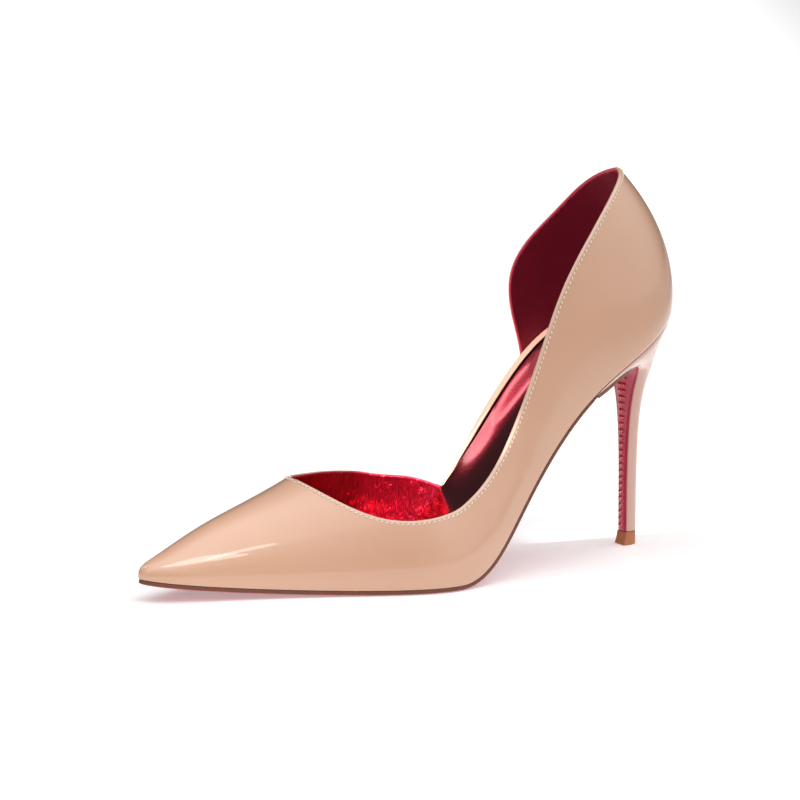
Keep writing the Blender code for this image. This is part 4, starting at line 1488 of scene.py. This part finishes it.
def board_look(stage):
    """White studio board: painted and matt, with a faint gloss under the shoe, darker outside the picture."""
    white = (1.0, 1.0, 1.0, 1.0)
    look, tree, shader, place = new_look("white_studio_board", FLOOR_TONE, Emission_Color=white)
    away = add(tree, "VectorMath", {"operation": "LENGTH"}, _0=place)
    near, far = FLOOR_GLOSS_FADE
    gloss = add(tree, "MapRange", Value=away.outputs["Value"], From_Min=near, From_Max=far)
    fill(tree, gloss, To_Min=FLOOR_GLOSS, To_Max=0.0)
    ahead = (-math.sin(stage.azimuth), -math.cos(stage.azimuth), 0.0)
    aside = (math.cos(stage.azimuth), -math.sin(stage.azimuth), 0.0)
    flags = []
    for way, (near, far) in ((ahead, FLAG_FRONT), (aside, FLAG_RIGHT)):
        reach = add(tree, "VectorMath", {"operation": "DOT_PRODUCT"}, _0=place, _1=way)
        flags.append(add(tree, "MapRange", Value=reach.outputs["Value"], From_Min=near, From_Max=far))
    flag = add(tree, "Math", {"operation": "MAXIMUM"}, _0=flags[0], _1=flags[1])
    board = add(tree, "MixRGB", Fac=flag, Color1=FLOOR_TONE, Color2=FLAG_TONE)
    # Painted light: the board glows faintly, lifting the shadow under the shoe, but not outside the picture
    glow = add(tree, "MapRange", Value=flag, To_Min=FLOOR_GLOW, To_Max=0.0)
    matt = add(tree, "TexNoise", Vector=place, Scale=per_mm(60), Detail=2.0)
    rough = add(tree, "MapRange", Value=matt, To_Min=0.26, To_Max=0.34)
    fill(tree, shader, Base_Color=board, Specular_IOR_Level=gloss, Emission_Strength=glow, Roughness=rough)
    return look


def light_world(scene, stage):
    """Studio all round: bright overhead, dim at the horizon and the back, with a fill by the heel."""
    world = scene.world or bpy.data.worlds.new("studio")
    scene.world = world
    world.use_nodes = True
    tree = world.node_tree
    ground = tree.nodes["Background"]
    way = add(tree, "TexCoord").outputs["Generated"]
    parts = add(tree, "SeparateXYZ", Vector=way).outputs
    up = add(tree, "Math", {"operation": "MAXIMUM"}, _0=parts["Z"], _1=0.0)
    steep = add(tree, "Math", {"operation": "POWER"}, _0=up, _1=DOME_POWER)
    glow = add(tree, "MapRange", Value=steep, To_Min=stage.horizon, To_Max=stage.dome)
    front, back = BACK_STRETCH
    dim = add(tree, "MapRange", Value=parts["Y"], From_Min=front, From_Max=back, To_Min=1.0, To_Max=BACK_DIM)
    dimmed = add(tree, "Math", {"operation": "MULTIPLY"}, _0=glow, _1=dim)
    window = direction(math.radians(FILL_AZIMUTH), math.radians(FILL_ELEVATION))
    near = add(tree, "VectorMath", {"operation": "DOT_PRODUCT"}, _0=way, _1=tuple(window)).outputs["Value"]
    wide, tight = (math.cos(math.radians(angle)) for angle in FILL_SPREAD)
    smooth = {"interpolation_type": "SMOOTHSTEP"}
    lobe = add(tree, "MapRange", smooth, Value=near, From_Min=wide, From_Max=tight, To_Max=FILL_GLOW)
    total = add(tree, "Math", {"operation": "ADD"}, _0=dimmed, _1=lobe)
    fill(tree, ground, Color=(1.0, 1.0, 1.0, 1.0), Strength=total)


class PUMP_OT_stage(bpy.types.Operator):
    """White floor, the studio round it, soft boxes, narrow spots and the camera"""

    bl_idname = "pump.stage"
    bl_label = "Stage"

    def execute(self, context):
        scene = context.scene
        stage = scene.pump_stage
        mesh = bpy.data.meshes.new("floor")
        reach = FLOOR_REACH
        corners = [(-reach, -reach, 0), (reach, -reach, 0), (reach, reach, 0), (-reach, reach, 0)]
        mesh.from_pydata(corners, [], [(0, 1, 2, 3)])
        mesh.materials.append(board_look(stage))
        floor = bpy.data.objects.new("floor", mesh)
        scene.collection.objects.link(floor)
        light_world(scene, stage)

        for row in LIGHTS:
            facts = dict(zip(LIGHT_COLUMNS, row))
            lamp = bpy.data.lights.new(facts["name"], "AREA")
            lamp.shape = facts["shape"]
            lamp.size, lamp.size_y, lamp.energy = facts["wide"], facts["tall"], facts["power"]
            hang(lamp, facts, AIMS[facts["aim"]])
        for row in SNOOTS:
            facts = dict(zip(SNOOT_COLUMNS, row))
            lamp = bpy.data.lights.new(facts["name"], "SPOT")
            lamp.spot_size, lamp.spot_blend = math.radians(facts["cone"]), SNOOT_BLEND
            lamp.energy = facts["power"]
            hang(lamp, facts, facts["aim"])

        middle = Vector(placed(np.array([TARGET]))[0])
        back = direction(-stage.azimuth, stage.elevation)
        right = Vector((math.cos(stage.azimuth), -math.sin(stage.azimuth), 0))
        up = back.cross(right)
        camera = bpy.data.objects.new("camera", bpy.data.cameras.new("camera"))
        camera.data.lens = stage.lens
        camera.data.clip_end = CLIP_END
        camera.location = middle + back * stage.distance
        aim = middle + (right * AIM_RIGHT + up * AIM_UP) * MM
        camera.rotation_euler = (camera.location - aim).to_track_quat("Z", "Y").to_euler()
        scene.collection.objects.link(camera)
        scene.camera = camera
        scene.view_settings.view_transform = "Standard"
        return {"FINISHED"}


OPERATORS = (
    PUMP_OT_stage,
    PUMP_OT_upper,
    PUMP_OT_lining,
    PUMP_OT_stitches,
    PUMP_OT_insole,
    PUMP_OT_binding,
    PUMP_OT_sole,
    PUMP_OT_heel,
    PUMP_OT_panel,
    PUMP_OT_stones,
    PUMP_OT_top_piece,
)


class PUMP_PT_sidebar(bpy.types.Panel):
    """Sizes, colours and steps of the pump"""

    bl_idname = "PUMP_PT_sidebar"
    bl_label = "Stiletto Pump"
    bl_space_type = "VIEW_3D"
    bl_region_type = "UI"
    bl_category = "Pump"

    def draw(self, context):
        scene = context.scene
        for group in (scene.pump_shapes, scene.pump_colours, scene.pump_stage):
            box = self.layout.box()
            for name in group.__annotations__:
                box.prop(group, name)
        for step in OPERATORS:
            self.layout.operator(step.bl_idname)


GROUPS = {"pump_shapes": PumpShapes, "pump_colours": PumpColours, "pump_stage": PumpStage}


def register():
    """Register the classes and hang the groups of properties on the scene."""
    for kind in (*GROUPS.values(), *OPERATORS, PUMP_PT_sidebar):
        bpy.utils.register_class(kind)
    for name, group in GROUPS.items():
        setattr(bpy.types.Scene, name, bpy.props.PointerProperty(type=group))


def unregister():
    """Take the groups of properties off the scene and unregister the classes."""
    for name in GROUPS:
        delattr(bpy.types.Scene, name)
    for kind in (PUMP_PT_sidebar, *reversed(OPERATORS), *reversed(GROUPS.values())):
        bpy.utils.unregister_class(kind)


def main():
    """Register the add-on and make every piece."""
    register()
    for step in OPERATORS:
        family, name = step.bl_idname.split(".")
        getattr(getattr(bpy.ops, family), name)()


if __name__ == "__main__":
    main()
